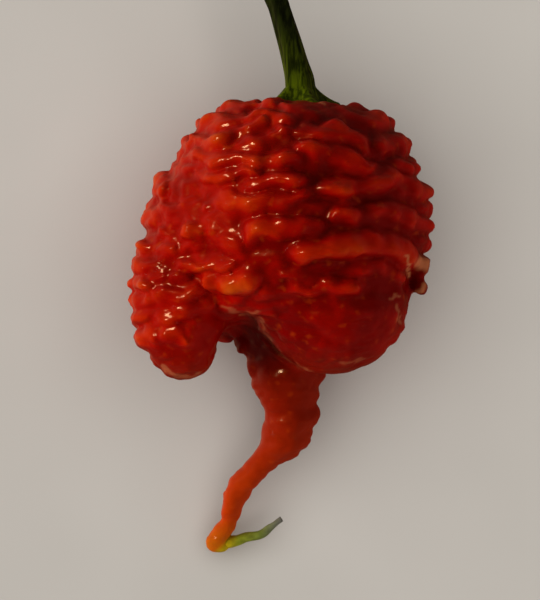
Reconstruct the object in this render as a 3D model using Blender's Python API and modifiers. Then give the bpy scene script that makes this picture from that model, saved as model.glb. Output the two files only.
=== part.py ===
"""Hydra chili pepper, picked and lying on its back.

One wrinkled pod with two lobes and a long tail, the green stem with its calyx,
and the dried style left at the tip of the tail. The stem points along +Y, the
side seen in the photograph looks up along +Z. Lengths below are millimetres
and become metres when each piece is finished.
"""

import math

import bmesh
import bpy
import numpy as np
from mathutils import Matrix, noise

MM = 0.001
GAP = 0.3
COLLECTION = "hydra_chili_pepper"

# The flat spot the pod rests on: its middle in the drawing, which becomes the origin,
# and the heights between which the wrinkles fade as the skin nears the surface
REST_SPOT = (0.4, -0.2, 1.4)
REST_CALM = (2.8, 6.5)
REST_CUT = (120.0, 120.0, 20.0)

# Swellings of the pod: centre, radii and turn about the up axis in degrees
LUMPS = (
    ((1.0, 5.6, 18.5), (16.0, 12.8, 16.4), 0),
    ((-5.2, 8.8, 20.5), (7.8, 8.8, 12.5), 16),
    ((8.4, 9.4, 17.5), (8.4, 8.5, 13.5), -12),
    ((1.4, 9.6, 25.4), (8.6, 8.6, 7.4), 0),
    ((2.0, 9.0, 11.0), (10.0, 8.8, 7.6), 0),
    ((1.0, 0.0, 18.2), (18.2, 13.6, 17.6), 0),
    ((-11.0, 1.8, 19.5), (6.6, 8.4, 10.5), 6),
    ((11.2, 3.4, 18.5), (8.0, 9.6, 11.5), 0),
    ((-14.1, -7.6, 21.6), (6.1, 10.0, 7.8), 4),
    ((-13.8, -13.7, 21.4), (5.5, 5.9, 6.9), 0),
    ((7.2, -8.7, 20.5), (10.0, 10.4, 12.2), -18),
    ((3.5, -7.0, 10.8), (9.0, 8.4, 8.4), 0),
    ((-7.5, -4.5, 10.5), (8.0, 9.5, 8.8), 14),
)
LUMP_BLEND = 2.4

# Hollows between them: the seat of the calyx, the cleft beside the left lobe, the furrow behind
HOLLOWS = (
    ((2.5, 22.5, 18.2), (5.0, 4.0, 5.0), 0, 2.6),
    ((-6.3, -16.6, 25.0), (3.1, 7.0, 11.0), -10, 1.4),
    ((-5.4, -15.5, 33.0), (4.6, 5.6, 9.0), 0, 1.2),
    ((-2.4, -14.5, 1.0), (2.2, 8.0, 8.0), 12, 2.4),
)

# The tail from its root behind the right lobe to its rounded heel: x, y, z and radius
TAIL = (
    (0.8, -10.0, 12.6, 6.6),
    (0.3, -14.0, 12.0, 5.8),
    (0.5, -16.8, 11.8, 4.9),
    (0.5, -19.4, 11.7, 4.6),
    (0.6, -21.4, 11.6, 4.2),
    (0.9, -23.6, 11.4, 3.4),
    (0.9, -25.6, 11.0, 3.35),
    (0.4, -27.6, 10.7, 3.2),
    (-0.7, -29.3, 10.1, 2.5),
    (-2.2, -31.0, 9.5, 1.85),
    (-3.6, -32.4, 8.9, 1.7),
    (-5.1, -33.8, 8.3, 1.55),
    (-6.1, -35.3, 7.7, 1.55),
    (-7.0, -36.9, 7.1, 1.4),
    (-7.5, -38.9, 6.4, 1.28),
    (-8.0, -40.8, 5.8, 1.15),
    (-8.8, -42.2, 5.4, 1.15),
    (-9.9, -43.3, 5.1, 1.1),
)
TAIL_STEPS = 3
TAIL_BLEND = 0.9

# Beads on the right flank and warts on the tail: x, y, z and radius
WARTS = (
    (19.4, -3.6, 22.5, 1.1),
    (18.7, -6.6, 22.0, 1.15),
    (-5.5, -14.9, 13.0, 1.45),
    (-3.5, -18.2, 12.4, 1.5),
    (-2.6, -20.8, 12.0, 1.6),
    (4.6, -19.2, 12.0, 1.4),
    (3.3, -21.8, 11.8, 1.45),
    (3.75, -24.7, 11.5, 1.55),
    (2.2, -27.6, 11.0, 1.7),
    (-1.5, -31.0, 9.6, 1.5),
    (-5.0, -34.4, 8.2, 1.3),
    (-8.6, -43.5, 5.0, 0.95),
)
WART_BLEND = 0.7

# Folds drawn on the skin as seen from above: half width, height and the line of the crest
FOLDS = (
    (1.0, 0.7, ((-6.6, 19.3), (-2.9, 19.3), (0.4, 18.9))),
    (1.1, 1.1, ((-10.8, 17.1), (-9.4, 17.9), (-6.0, 18.1), (-2.9, 17.8), (-0.4, 18.2))),
    (0.6, 0.5, ((-4.3, 16.8), (-2.9, 17.9), (-1.8, 18.8))),
    (1.0, 1.0, ((-11.2, 15.4), (-9.4, 15.5), (-7.1, 15.3), (-4.6, 15.5), (-2.9, 16.4),
                (-1.1, 16.2), (1.0, 15.5))),
    (0.8, 1.0, ((-11.6, 13.3), (-9.9, 12.3), (-8.0, 13.0), (-6.0, 14.1), (-3.8, 14.7), (-2.4, 15.4))),
    (1.7, 1.3, ((-13.9, 13.4), (-13.7, 12.0))),
    (1.1, 1.0, ((-5.6, 12.2), (-3.5, 12.5), (-1.0, 13.3), (1.0, 13.7))),
    (1.1, 1.0, ((-13.9, 10.9), (-11.3, 11.2), (-9.7, 10.5), (-7.7, 10.1), (-6.0, 10.5),
                (-2.9, 9.8), (-0.1, 10.4), (1.8, 10.9))),
    (1.0, 1.1, ((-11.6, 8.8), (-9.7, 8.0), (-7.7, 8.0), (-5.5, 9.2), (-3.5, 8.5))),
    (1.4, 1.3, ((-16.4, 9.2), (-16.4, 6.7))),
    (1.1, 0.8, ((-14.7, 9.4), (-11.6, 9.1))),
    (1.0, 1.0, ((-4.6, 7.0), (-2.9, 7.0), (-1.0, 7.7), (1.8, 7.3))),
    (0.6, 0.5, ((-15.0, 8.1), (-15.4, 5.3))),
    (1.1, 1.1, ((-8.5, 4.5), (-6.7, 5.3), (-4.6, 4.5), (-0.4, 4.5), (2.4, 5.3))),
    (0.6, 0.6, ((-10.5, 3.8), (-9.4, 4.1))),
    (0.6, 0.6, ((-10.6, 2.1), (-9.7, 2.8), (-8.5, 3.2))),
    (0.9, 0.6, ((-13.2, 6.9), (-11.8, 6.4))),
    (0.8, 0.6, ((-10.9, 6.3), (-9.6, 6.0))),
    (0.8, 0.6, ((-13.4, 4.6), (-12.2, 4.9))),
    (0.9, 0.5, ((-15.6, 2.4), (-14.3, 2.0))),
    (0.8, 0.5, ((-12.4, 2.8), (-11.4, 3.0))),
    (1.4, 1.4, ((-18.3, 4.2), (-18.5, 2.2))),
    (0.7, 0.6, ((-16.7, 4.5), (-15.0, 3.4))),
    (1.3, 1.3, ((-12.6, 1.4), (-11.9, 0.8))),
    (1.3, 0.7, ((-8.9, 1.0), (-7.4, 0.1), (-5.8, -1.2))),
    (1.1, 1.1, ((-4.6, -0.3), (-3.8, 1.0), (-2.1, 1.7), (0.3, 1.3), (3.8, 1.0))),
    (1.0, 0.6, ((-18.3, 0.3), (-17.5, 0.0))),
    (0.7, 0.7, ((-16.9, 1.1), (-15.1, -0.1))),
    (1.3, 1.1, ((-19.7, -1.7), (-18.6, -1.5))),
    (1.3, 1.1, ((-20.2, -4.1), (-18.6, -3.9))),
    (1.1, 1.1, ((-20.2, -6.3), (-18.6, -6.3))),
    (1.1, 1.1, ((-19.9, -8.5), (-18.6, -8.7))),
    (1.1, 1.1, ((-19.6, -11.1), (-18.3, -10.9))),
    (1.1, 1.0, ((-18.8, -13.4), (-17.8, -13.4))),
    (1.1, 0.9, ((-16.9, -2.1), (-15.8, -1.8), (-14.7, -2.0))),
    (0.7, 0.7, ((-13.6, -2.0), (-12.5, -1.3), (-11.6, -1.7))),
    (0.8, 1.0, ((-14.1, -3.5), (-12.2, -3.6), (-9.7, -3.6), (-7.4, -4.1))),
    (0.6, 0.5, ((-11.6, -2.4), (-10.5, -3.2))),
    (0.8, 0.7, ((-17.5, -5.5), (-16.4, -5.2))),
    (0.7, 0.6, ((-15.0, -5.5), (-13.7, -5.7))),
    (1.1, 0.9, ((-16.9, -8.0), (-15.5, -8.1), (-13.9, -8.3), (-11.9, -7.6))),
    (0.7, 0.5, ((-16.5, -9.7), (-15.5, -9.5))),
    (0.7, 0.6, ((-13.7, -9.5), (-12.2, -8.7))),
    (1.0, 0.8, ((-17.5, -11.1), (-13.7, -10.2), (-10.9, -8.8))),
    (0.8, 0.8, ((-16.1, -13.4), (-14.4, -13.4), (-13.3, -14.3))),
    (1.0, 0.5, ((-11.9, -11.8), (-13.0, -13.4))),
    (0.4, 0.2, ((-16.9, -16.8), (-14.1, -16.8))),
    (0.4, 0.3, ((-14.4, -17.9), (-12.2, -17.1))),
    (0.8, 0.4, ((-15.0, -19.0), (-14.4, -19.2))),
    (1.1, 0.5, ((-12.7, -18.6), (-12.0, -18.6))),
    (0.9, 0.5, ((-0.6, -3.9), (0.2, -4.1))),
    (0.8, 0.9, ((0.1, -5.0), (1.7, -5.0), (3.8, -6.0))),
    (1.4, 1.5, ((-8.5, -5.9), (-6.6, -6.3), (-4.3, -6.4))),
    (1.1, 1.1, ((-2.9, -7.4), (-1.3, -7.4), (2.4, -7.0), (6.6, -6.6), (9.4, -6.9))),
    (0.7, 0.6, ((-1.1, -6.3), (0.1, -6.7))),
    (0.9, 1.2, ((-8.5, -8.7), (-6.0, -9.8), (-3.5, -9.8), (-1.5, -10.2))),
    (1.0, 0.5, ((-1.1, -9.2), (2.4, -10.1))),
    (0.8, 0.8, ((0.0, 17.6), (2.4, 16.8), (4.6, 16.5), (6.6, 17.1))),
    (1.1, 1.1, ((5.9, 17.9), (8.0, 16.9), (10.1, 16.1), (11.9, 16.2), (13.9, 15.4))),
    (1.0, 0.8, ((9.4, 17.9), (11.1, 17.8), (12.5, 16.8))),
    (1.1, 1.1, ((0.0, 14.1), (2.4, 14.1), (4.9, 13.7), (7.3, 14.1), (9.4, 13.4),
                (11.1, 12.9), (11.3, 11.9))),
    (1.3, 1.1, ((12.5, 12.7), (14.3, 13.2), (16.1, 12.3))),
    (1.1, 1.2, ((2.4, 11.9), (4.5, 11.5), (7.3, 11.2), (9.4, 10.4), (11.1, 9.4))),
    (1.0, 1.1, ((15.7, 9.7), (17.1, 9.4), (18.3, 9.4))),
    (0.7, 0.6, ((18.8, 8.3), (18.9, 7.8))),
    (1.1, 1.2, ((5.9, 6.2), (8.7, 6.2), (11.1, 6.7), (12.5, 7.3), (13.9, 8.1),
                (15.5, 8.3), (16.7, 7.1), (18.3, 6.4), (19.5, 6.3))),
    (0.8, 0.6, ((2.4, 4.3), (6.6, 4.3), (10.1, 4.8))),
    (1.0, 1.1, ((7.3, 3.4), (9.4, 2.8), (11.5, 3.4), (14.3, 3.5), (16.1, 3.1), (17.8, 2.2), (19.5, 1.7))),
    (1.1, 1.2, ((19.7, 3.9), (20.0, 3.9))),
    (1.3, 1.3, ((2.8, -2.1), (5.9, -2.0), (8.7, -1.3), (11.1, -0.6), (14.3, -0.8),
                (16.4, -2.0), (17.0, -3.0))),
    (1.0, 1.0, ((8.7, -4.2), (10.8, -3.9), (12.5, -3.9), (14.3, -4.9), (15.4, -5.5))),
    (0.8, 0.6, ((4.3, -3.4), (8.0, -3.6))),
    (0.7, 0.5, ((10.6, -6.3), (10.9, -6.6))),
    (1.0, 1.0, ((19.2, -0.4), (19.5, -0.7))),
    (1.6, 0.35, ((6.6, -9.8), (8.7, -9.7), (10.5, -9.5), (11.9, -9.1), (13.3, -8.5),
                 (14.6, -8.6), (15.6, -9.4))),
    (0.8, 0.6, ((-2.7, -11.5), (-2.2, -13.7), (-1.0, -15.7), (1.0, -17.4), (3.8, -19.3))),
    (0.7, 0.4, ((0.3, -11.5), (2.4, -11.3))),
    (0.7, 0.4, ((0.1, -13.3), (2.1, -14.1))),
    (0.4, 0.3, ((9.4, -16.7), (11.9, -16.4))),
    (0.8, 0.4, ((5.9, -19.0), (8.7, -18.6))),
    (1.0, 0.5, ((12.5, -16.5), (13.3, -16.1))),
    (1.1, 0.5, ((15.7, -13.3), (16.1, -12.6))),
)

FOLD_SCALE = 1.5
FOLD_SUNK = 0.3

# Each drawn fold swells until it meets the next in a sharp crease, sunk a little into the form;
# one that has no neighbour fades out over these multiples of its half width. Noise bends the
# folds and lumps their crests. Skin that faces towards the tail keeps this share of them
FOLD_ENDS = 0.4
FOLD_ROUNDNESS = 0.5
FOLD_FADE = (2.4, 1.0)
FOLD_BEND = 0.4
FOLD_BEND_GRAIN = 2.2
FOLD_BEND_SEEDS = (51.3, 57.9)
FOLD_LUMPS = 0.6
FOLD_LUMP_GRAIN = 2.4
FOLD_LUMP_SEED = 63.1

# Height at which the skin belongs to the front, with the folds as drawn, or to the back,
# where the same folds run mirrored about this x and shifted down by this much
FRONT_FADE = (10.0, 17.0)
MIRROR_X = 0.7
BACK_SHIFT = 1.3
SWAY_FADE = (24.0, 14.0)
SWAY = 1.6
SWAY_GRAIN = 6.0
SWAY_SEED = 31.3

# Rolls that run round the pod's axis everywhere between the drawn folds; above and below
# the belly they are counted by angle, so that they close in on the stem and on the tail
ROLL_PITCH = 3.1
ROLL_HEIGHT = 0.95
ROLL_ROUNDNESS = 0.75
ROLL_FULLNESS = 0.8
POD_AXIS = (1.0, 18.0)
CROWN_Y = 2.0
CROWN_RADIUS = 18.0
FOOT_Y = -5.0
FOOT_RADIUS = 13.0

# Noise that bends the rolls and lumps each one: grain size and weight
BENDS = ((11.0, 1.0, 3.1), (4.6, 0.42, 17.7))
LUMPINESS = ((3.4, 0.55, 5.5), (1.7, 0.25, 9.5))
ROLL_SHIFT = 7.31

# Cushions on the skin that faces along the axis, and the share of the rolls that each area keeps
CUSHION_HEIGHT = 1.2
CUSHION_GRAIN = 3.2
CUSHION_STEEPNESS = 3.4
CUSHION_ROUNDNESS = 0.7
CUSHION_SEED = 43.9
CUSHION_FACING = (0.45, 0.8)
LOBE_ENDS = (-15.0, -9.0)
FRONT_ROLLS = (0.28, 0.85)
BACK_ROLLS = (0.9, 1.3)
TAIL_ROLLS = 0.3
TAIL_FADE = (-21.0, -17.5)

# Folds sag this much towards the tail
SAG = 0.1
SAG_FADE = (-20.0, -14.0)

# The skin is laid in squares of this size, settled on the form, then thinned to these triangles
SKIN_SQUARE = 0.36
SETTLING = 4
POD_TRIANGLES = 11000

# Stem from the seat to the cut end: x, y, z and radius
STEM = (
    (2.4, 19.8, 18.2, 2.15),
    (2.3, 21.8, 18.2, 2.05),
    (2.1, 23.0, 18.1, 1.92),
    (1.7, 24.6, 18.0, 1.75),
    (1.1, 27.0, 17.7, 1.65),
    (0.3, 29.8, 17.3, 1.55),
    (-0.3, 31.9, 16.9, 1.5),
    (-0.8, 33.3, 16.6, 1.5),
    (-2.6, 37.2, 15.7, 1.6),
    (-4.8, 41.4, 14.8, 1.85),
)
STEM_SIDES = 20
STEM_STEPS = 3
STEM_RIDGES = 5
STEM_RIDGE_HEIGHT = 0.12
STEM_TWIST = 0.05
STEM_BEVEL = 0.15
CUT_SHARE = 0.84
CALYX_AXIS = (2.4, 18.2)
CALYX_RADIUS = 3.5
CALYX_TEETH = 5
CALYX_TOOTH = 2.2
CALYX_RIM = 0.45
CALYX_EDGE = 0.27
CALYX_POINTEDNESS = 2.5
CALYX_TURN = 0.5
CALYX_FOOT = 1.6
CALYX_RINGS = (0.12, 0.3, 0.52, 0.75, 0.93)
CALYX_SMOOTH = (6.0, 7.6)
CALYX_SMOOTH_Y = (12.0, 15.0)
SEAT_SEARCH = (12.0, 21.0)

# Dried style from the heel of the tail to its withered tip: x, y, z and radius
STYLE = (
    (-6.6, -43.1, 5.1, 0.82),
    (-5.6, -42.7, 5.1, 0.72),
    (-4.6, -42.55, 5.2, 0.66),
    (-3.5, -42.3, 5.3, 0.66),
    (-2.5, -41.85, 5.4, 0.6),
    (-1.7, -41.15, 5.6, 0.5),
    (-1.0, -40.55, 5.8, 0.42),
    (-0.15, -40.0, 5.9, 0.38),
)
STYLE_STEPS = 2
STYLE_ROUNDNESS = 2


def ellipsoid_distance(points, centre, radii, turn):
    """Signed distance, near enough, from points to an ellipsoid turned about Z."""
    angle = math.radians(turn)
    away = points - np.array(centre)
    x = away[:, 0] * math.cos(angle) + away[:, 1] * math.sin(angle)
    y = away[:, 1] * math.cos(angle) - away[:, 0] * math.sin(angle)
    local = np.stack((x, y, away[:, 2]), axis=1) / np.array(radii)
    reach = np.linalg.norm(local, axis=1)
    slope = np.linalg.norm(local / np.array(radii), axis=1)
    return reach * (reach - 1.0) / np.maximum(slope, 1e-9)


def blend(first, second, width):
    """Union of two distances, rounded where they meet."""
    share = np.clip(0.5 + 0.5 * (second - first) / width, 0.0, 1.0)
    return second + (first - second) * share - width * share * (1.0 - share)


def eased(points, steps):
    """A path through the given points, with steps between each two of them."""
    knots = np.array(points)
    path = []
    for i in range(len(knots) - 1):
        before = knots[max(i - 1, 0)]
        start = knots[i]
        end = knots[i + 1]
        after = knots[min(i + 2, len(knots) - 1)]
        for step in range(steps):
            t = step / steps
            pull = (end - before) * t
            bend = (2.0 * before - 5.0 * start + 4.0 * end - after) * t * t
            twist = (3.0 * start - before - 3.0 * end + after) * t ** 3
            path.append(start + 0.5 * (pull + bend + twist))
    path.append(knots[-1])
    return np.array(path)


def tail_distance(points):
    """Distance to the tail, a chain of tapering round lengths."""
    path = eased(TAIL, TAIL_STEPS)
    nearest = np.full(len(points), 1e9)
    for start, end in zip(path[:-1], path[1:]):
        along = end[:3] - start[:3]
        t = np.clip((points - start[:3]) @ along / (along @ along), 0.0, 1.0)
        away = np.linalg.norm(points - start[:3] - t[:, None] * along, axis=1)
        nearest = np.minimum(nearest, away - start[3] - (end[3] - start[3]) * t)
    return nearest


def form_distance(points):
    """Signed distance to the pod as it would be without its wrinkles."""
    reach = None
    for centre, radii, turn in LUMPS:
        lump = ellipsoid_distance(points, centre, radii, turn)
        reach = lump if reach is None else blend(reach, lump, LUMP_BLEND)
    for centre, radii, turn, width in HOLLOWS:
        hollow = ellipsoid_distance(points, centre, radii, turn)
        reach = -blend(-reach, hollow, width)
    reach = blend(reach, tail_distance(points), TAIL_BLEND)
    for x, y, z, radius in WARTS:
        wart = np.linalg.norm(points - (x, y, z), axis=1) - radius
        reach = blend(reach, wart, WART_BLEND)
    return reach


def slope_of(points):
    """The direction in which the form's distance grows."""
    step = 0.05
    slope = np.empty_like(points)
    for axis in range(3):
        shift = np.zeros(3)
        shift[axis] = step
        slope[:, axis] = (form_distance(points + shift) - form_distance(points - shift)) / (2.0 * step)
    return slope


def settled(points):
    """Points moved onto the surface of the form."""
    for _ in range(SETTLING):
        slope = slope_of(points)
        square = np.maximum((slope ** 2).sum(axis=1), 0.2)
        points = points - (form_distance(points) / square)[:, None] * slope
    return points


def ramp(low, high, value):
    """Rises smoothly from 0 at low to 1 at high; falls where low is the larger."""
    t = np.clip((value - low) / (high - low), 0.0, 1.0)
    return t * t * (3.0 - 2.0 * t)


def murmur(points, size, seed):
    """Smooth noise of the given grain size."""
    grain = points / np.array(size) + seed
    return np.array([noise.noise(place) for place in grain.tolist()])


def fold_height(flat, folds):
    """Height of the drawn folds at points seen from above: round crests, sharp creases."""
    nearest = np.full(len(flat), 1e6)
    second = np.full(len(flat), 2e6)
    top = np.zeros(len(flat))
    for half_width, height, line in folds:
        crest = np.array(line)
        away = np.full(len(flat), 1e9)
        for start, end in zip(crest[:-1], crest[1:]):
            along = end - start
            t = np.clip((flat - start) @ along / (along @ along), 0.0, 1.0)
            off = flat - start - t[:, None] * along
            away = np.minimum(away, (off ** 2).sum(axis=1))
        reach = np.sqrt(away) / half_width
        closer = reach < nearest
        second = np.where(closer, nearest, np.minimum(second, reach))
        nearest = np.where(closer, reach, nearest)
        top = np.where(closer, height, top)
    swell = 1.0 - (2.0 * nearest / (nearest + second)) ** 2
    return top * swell ** FOLD_ROUNDNESS * ramp(*FOLD_FADE, nearest)


def bent(points, away):
    """Points seen from above, moved a little so that the folds drawn there waver."""
    waver = [FOLD_BEND * murmur(points, FOLD_BEND_GRAIN, seed) for seed in FOLD_BEND_SEEDS]
    return np.stack((points[:, 0] + waver[0], points[:, 1] + waver[1] + away), axis=1)


def roll_height(points):
    """Rolls across the pod: round crests, sharp valleys, and lumps along each roll."""
    y = points[:, 1]
    off_axis = np.hypot(points[:, 0] - POD_AXIS[0], points[:, 2] - POD_AXIS[1])
    over_crown = CROWN_Y + CROWN_RADIUS * np.arctan2(y - CROWN_Y, off_axis)
    under_foot = FOOT_Y + FOOT_RADIUS * np.arctan2(y - FOOT_Y, off_axis)
    along = np.where(y > CROWN_Y, over_crown, np.where(y < FOOT_Y, under_foot, y))
    phase = along / ROLL_PITCH
    for grain, weight, seed in BENDS:
        phase = phase + weight * murmur(points, grain, seed)
    roll = np.round(phase)
    own = points.copy()
    own[:, 1] = roll * ROLL_SHIFT
    lumps = np.full(len(points), ROLL_FULLNESS)
    for grain, weight, seed in LUMPINESS:
        lumps = lumps + weight * murmur(own, (grain, 1.0, grain), seed)
    return np.cos(np.pi * (phase - roll)) ** ROLL_ROUNDNESS * lumps


def cushion_height(points):
    """Small cushions with sharp creases between them."""
    height = CUSHION_STEEPNESS * np.abs(murmur(points, CUSHION_GRAIN, CUSHION_SEED))
    return np.minimum(1.0, height) ** CUSHION_ROUNDNESS


def mixed(first, second, share):
    """From the first value at share 0 to the second at share 1."""
    return first + (second - first) * share


def wrinkle_height(points, outward):
    """How far the skin stands off the form."""
    x = points[:, 0]
    y = points[:, 1]
    z = points[:, 2]
    rolls = roll_height(points)
    facing = ramp(*CUSHION_FACING, np.abs(outward[:, 1]))
    filling = mixed(ROLL_HEIGHT * rolls, CUSHION_HEIGHT * cushion_height(points), facing)
    sway = SWAY * ramp(*SWAY_FADE, z) * murmur(points, SWAY_GRAIN, SWAY_SEED)
    seen = bent(points, sway)
    behind = bent(points, sway - BACK_SHIFT) * (-1.0, 1.0) + (2.0 * MIRROR_X, 0.0)
    lumps = FOLD_SCALE * (1.0 + FOLD_LUMPS * murmur(points, FOLD_LUMP_GRAIN, FOLD_LUMP_SEED))
    lumps = lumps * mixed(1.0, FOLD_ENDS, ramp(*CUSHION_FACING, -outward[:, 1]))
    above_ends = ramp(*LOBE_ENDS, y)
    front = np.maximum(lumps * fold_height(seen, FOLDS), filling * mixed(*FRONT_ROLLS, above_ends))
    back = np.maximum(lumps * fold_height(behind, FOLDS), filling * mixed(*BACK_ROLLS, above_ends))
    body = mixed(back, front, ramp(*FRONT_FADE, z)) - FOLD_SUNK
    tail = TAIL_ROLLS * rolls
    on_body = ramp(*TAIL_FADE, y)
    off_calyx = np.hypot(x - CALYX_AXIS[0], z - CALYX_AXIS[1])
    under_calyx = ramp(CALYX_SMOOTH[1], CALYX_SMOOTH[0], off_calyx) * ramp(*CALYX_SMOOTH_Y, y)
    at_rest = ramp(REST_CALM[1], REST_CALM[0], z) * on_body
    return mixed(tail, body, on_body) * (1.0 - under_calyx) * (1.0 - at_rest)


def wrinkled(points):
    """Settled points lifted into folds that sag a little towards the tail."""
    slope = slope_of(points)
    outward = slope / np.maximum(np.linalg.norm(slope, axis=1), 1e-9)[:, None]
    height = wrinkle_height(points, outward)
    moved = points + outward * height[:, None]
    sideways = 1.0 - np.abs(outward[:, 1])
    moved[:, 1] -= SAG * np.maximum(height, 0.0) ** 1.5 * sideways * ramp(*SAG_FADE, points[:, 1])
    return moved


def placed(points):
    """Drawing millimetres to metres about the rest spot."""
    return (np.array(points) - np.array(REST_SPOT)) * MM


def mesh_points(mesh):
    """The vertices of a mesh as an array."""
    flat = np.empty(len(mesh.vertices) * 3)
    mesh.vertices.foreach_get("co", flat)
    return flat.reshape(-1, 3)


def move_points(mesh, points):
    """Gives a mesh new places for its vertices."""
    mesh.vertices.foreach_set("co", np.asarray(points, dtype=np.float32).ravel())
    mesh.update()


def linked(name, mesh, group):
    """A new object for a mesh, in the given collection."""
    piece = bpy.data.objects.new(name, mesh)
    group.objects.link(piece)
    return piece


def applied(piece):
    """The mesh of an object with its modifiers carried out."""
    graph = bpy.context.evaluated_depsgraph_get()
    return bpy.data.meshes.new_from_object(piece.evaluated_get(graph))


def remeshed(mesh, group):
    """One even skin of squares round everything in the mesh."""
    piece = linked("skin", mesh, group)
    skin = piece.modifiers.new("skin", "REMESH")
    skin.mode = "VOXEL"
    skin.voxel_size = SKIN_SQUARE
    result = applied(piece)
    bpy.data.objects.remove(piece)
    return result


def thinned(mesh, triangles, group):
    """The same skin with fewer faces, kept where it folds."""
    piece = linked("skin", mesh, group)
    mesh.calc_loop_triangles()
    thin = piece.modifiers.new("thin", "DECIMATE")
    thin.ratio = min(1.0, triangles / len(mesh.loop_triangles))
    result = applied(piece)
    bpy.data.objects.remove(piece)
    return result


def rough_pod():
    """The swellings and the tail as overlapping round bodies."""
    shape = bmesh.new()
    for centre, radii, turn in LUMPS:
        place = Matrix.Translation(centre) @ Matrix.Rotation(math.radians(turn), 4, "Z")
        bmesh.ops.create_icosphere(
            shape, subdivisions=4, radius=1.0, matrix=place @ Matrix.Diagonal((*radii, 1.0)))
    for x, y, z, radius in (*eased(TAIL, 2 * TAIL_STEPS), *WARTS):
        bmesh.ops.create_icosphere(
            shape, subdivisions=2, radius=radius, matrix=Matrix.Translation((x, y, z)))
    mesh = bpy.data.meshes.new("rough_pod")
    shape.to_mesh(mesh)
    shape.free()
    return mesh


def surface(name, colour, roughness):
    """One plain material."""
    material = bpy.data.materials.new(name)
    material.use_nodes = True
    shader = material.node_tree.nodes["Principled BSDF"]
    shader.inputs["Base Color"].default_value = (*colour, 1.0)
    shader.inputs["Roughness"].default_value = roughness
    return material


def make_rest_cutter(group):
    """Everything below the surface, which leaves the pod its flat spot."""
    shape = bmesh.new()
    size = [length * MM for length in REST_CUT]
    place = Matrix.Translation((0.0, 0.0, -size[2] / 2.0)) @ Matrix.Diagonal((*size, 1.0))
    bmesh.ops.create_cube(shape, size=1.0, matrix=place)
    mesh = bpy.data.meshes.new("below_surface")
    shape.to_mesh(mesh)
    shape.free()
    cutter = linked("below_surface", mesh, group)
    cutter.hide_render = True
    cutter.display_type = "WIRE"
    return cutter


def make_pod(group, cutter):
    """The fruit: form, wrinkles, and the flat spot it rests on."""
    mesh = remeshed(rough_pod(), group)
    move_points(mesh, wrinkled(settled(mesh_points(mesh))))
    mesh = thinned(remeshed(mesh, group), POD_TRIANGLES, group)
    move_points(mesh, placed(mesh_points(mesh)))
    mesh.shade_smooth()
    mesh.materials.clear()
    mesh.materials.append(surface("pod_skin", (0.42, 0.02, 0.008), 0.22))
    pod = linked("pod", mesh, group)
    flat = pod.modifiers.new("rest_spot", "BOOLEAN")
    flat.operation = "DIFFERENCE"
    flat.solver = "EXACT"
    flat.object = cutter


def ring(centre, along, radii):
    """Points round a centre, square to the given direction, starting on the +X side."""
    across = np.cross(along, (0.0, 0.0, 1.0))
    across = across / np.linalg.norm(across)
    up = np.cross(across, along / np.linalg.norm(along))
    angles = 2.0 * math.pi * np.arange(len(radii)) / len(radii)
    spokes = np.cos(angles)[:, None] * across + np.sin(angles)[:, None] * up
    return centre + spokes * radii[:, None]


def lofted(name, first, rings, last):
    """A closed mesh through rings of equal count, with a point at each end."""
    shape = bmesh.new()
    start = shape.verts.new(first)
    loops = [[shape.verts.new(point) for point in row] for row in rings]
    end = shape.verts.new(last)
    count = len(loops[0])
    for i in range(count):
        j = (i + 1) % count
        shape.faces.new((start, loops[0][i], loops[0][j]))
        for near, far in zip(loops[:-1], loops[1:]):
            shape.faces.new((near[i], far[i], far[j], near[j]))
        shape.faces.new((loops[-1][j], loops[-1][i], end))
    bmesh.ops.recalc_face_normals(shape, faces=shape.faces)
    mesh = bpy.data.meshes.new(name)
    shape.to_mesh(mesh)
    shape.free()
    return mesh


def seat_height(x, z):
    """Where the skin's form lies under the calyx, plus the gap, along the stem's axis."""
    low = np.full(len(x), SEAT_SEARCH[0])
    high = np.full(len(x), SEAT_SEARCH[1])
    for _ in range(30):
        middle = 0.5 * (low + high)
        outside = form_distance(np.stack((x, middle, z), axis=1)) > GAP
        high = np.where(outside, middle, high)
        low = np.where(outside, low, middle)
    return high


def calyx_rim(angles):
    """Reach of the calyx from its axis: a round collar with small pointed teeth."""
    tooth = (0.5 + 0.5 * np.cos(CALYX_TEETH * angles + CALYX_TURN)) ** CALYX_POINTEDNESS
    return CALYX_RADIUS + CALYX_TOOTH * tooth


def stem_rings(angles):
    """Ridged rings from the cut end down to where the calyx begins to flare."""
    path = eased(STEM, STEM_STEPS)
    last = len(path) - 1
    rings = []
    for i in range(last, 1, -1):
        along = path[min(i + 1, last), :3] - path[i - 1, :3]
        radii = path[i, 3] + STEM_RIDGE_HEIGHT * np.cos(STEM_RIDGES * angles + STEM_TWIST * i)
        if i == last:
            rings.append(ring(path[i, :3] + STEM_BEVEL * along, along, CUT_SHARE * radii))
        rings.append(ring(path[i, :3], along, radii))
    cut = path[last, :3] + STEM_BEVEL * (path[last, :3] - path[last - 1, :3])
    return cut, rings


def seat_ring(reach, angles):
    """A ring of the given reach round the calyx's axis, lying on its seat."""
    x = CALYX_AXIS[0] + reach * np.cos(angles)
    z = CALYX_AXIS[1] + reach * np.sin(angles)
    return np.stack((x, seat_height(x, z), z), axis=1)


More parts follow.
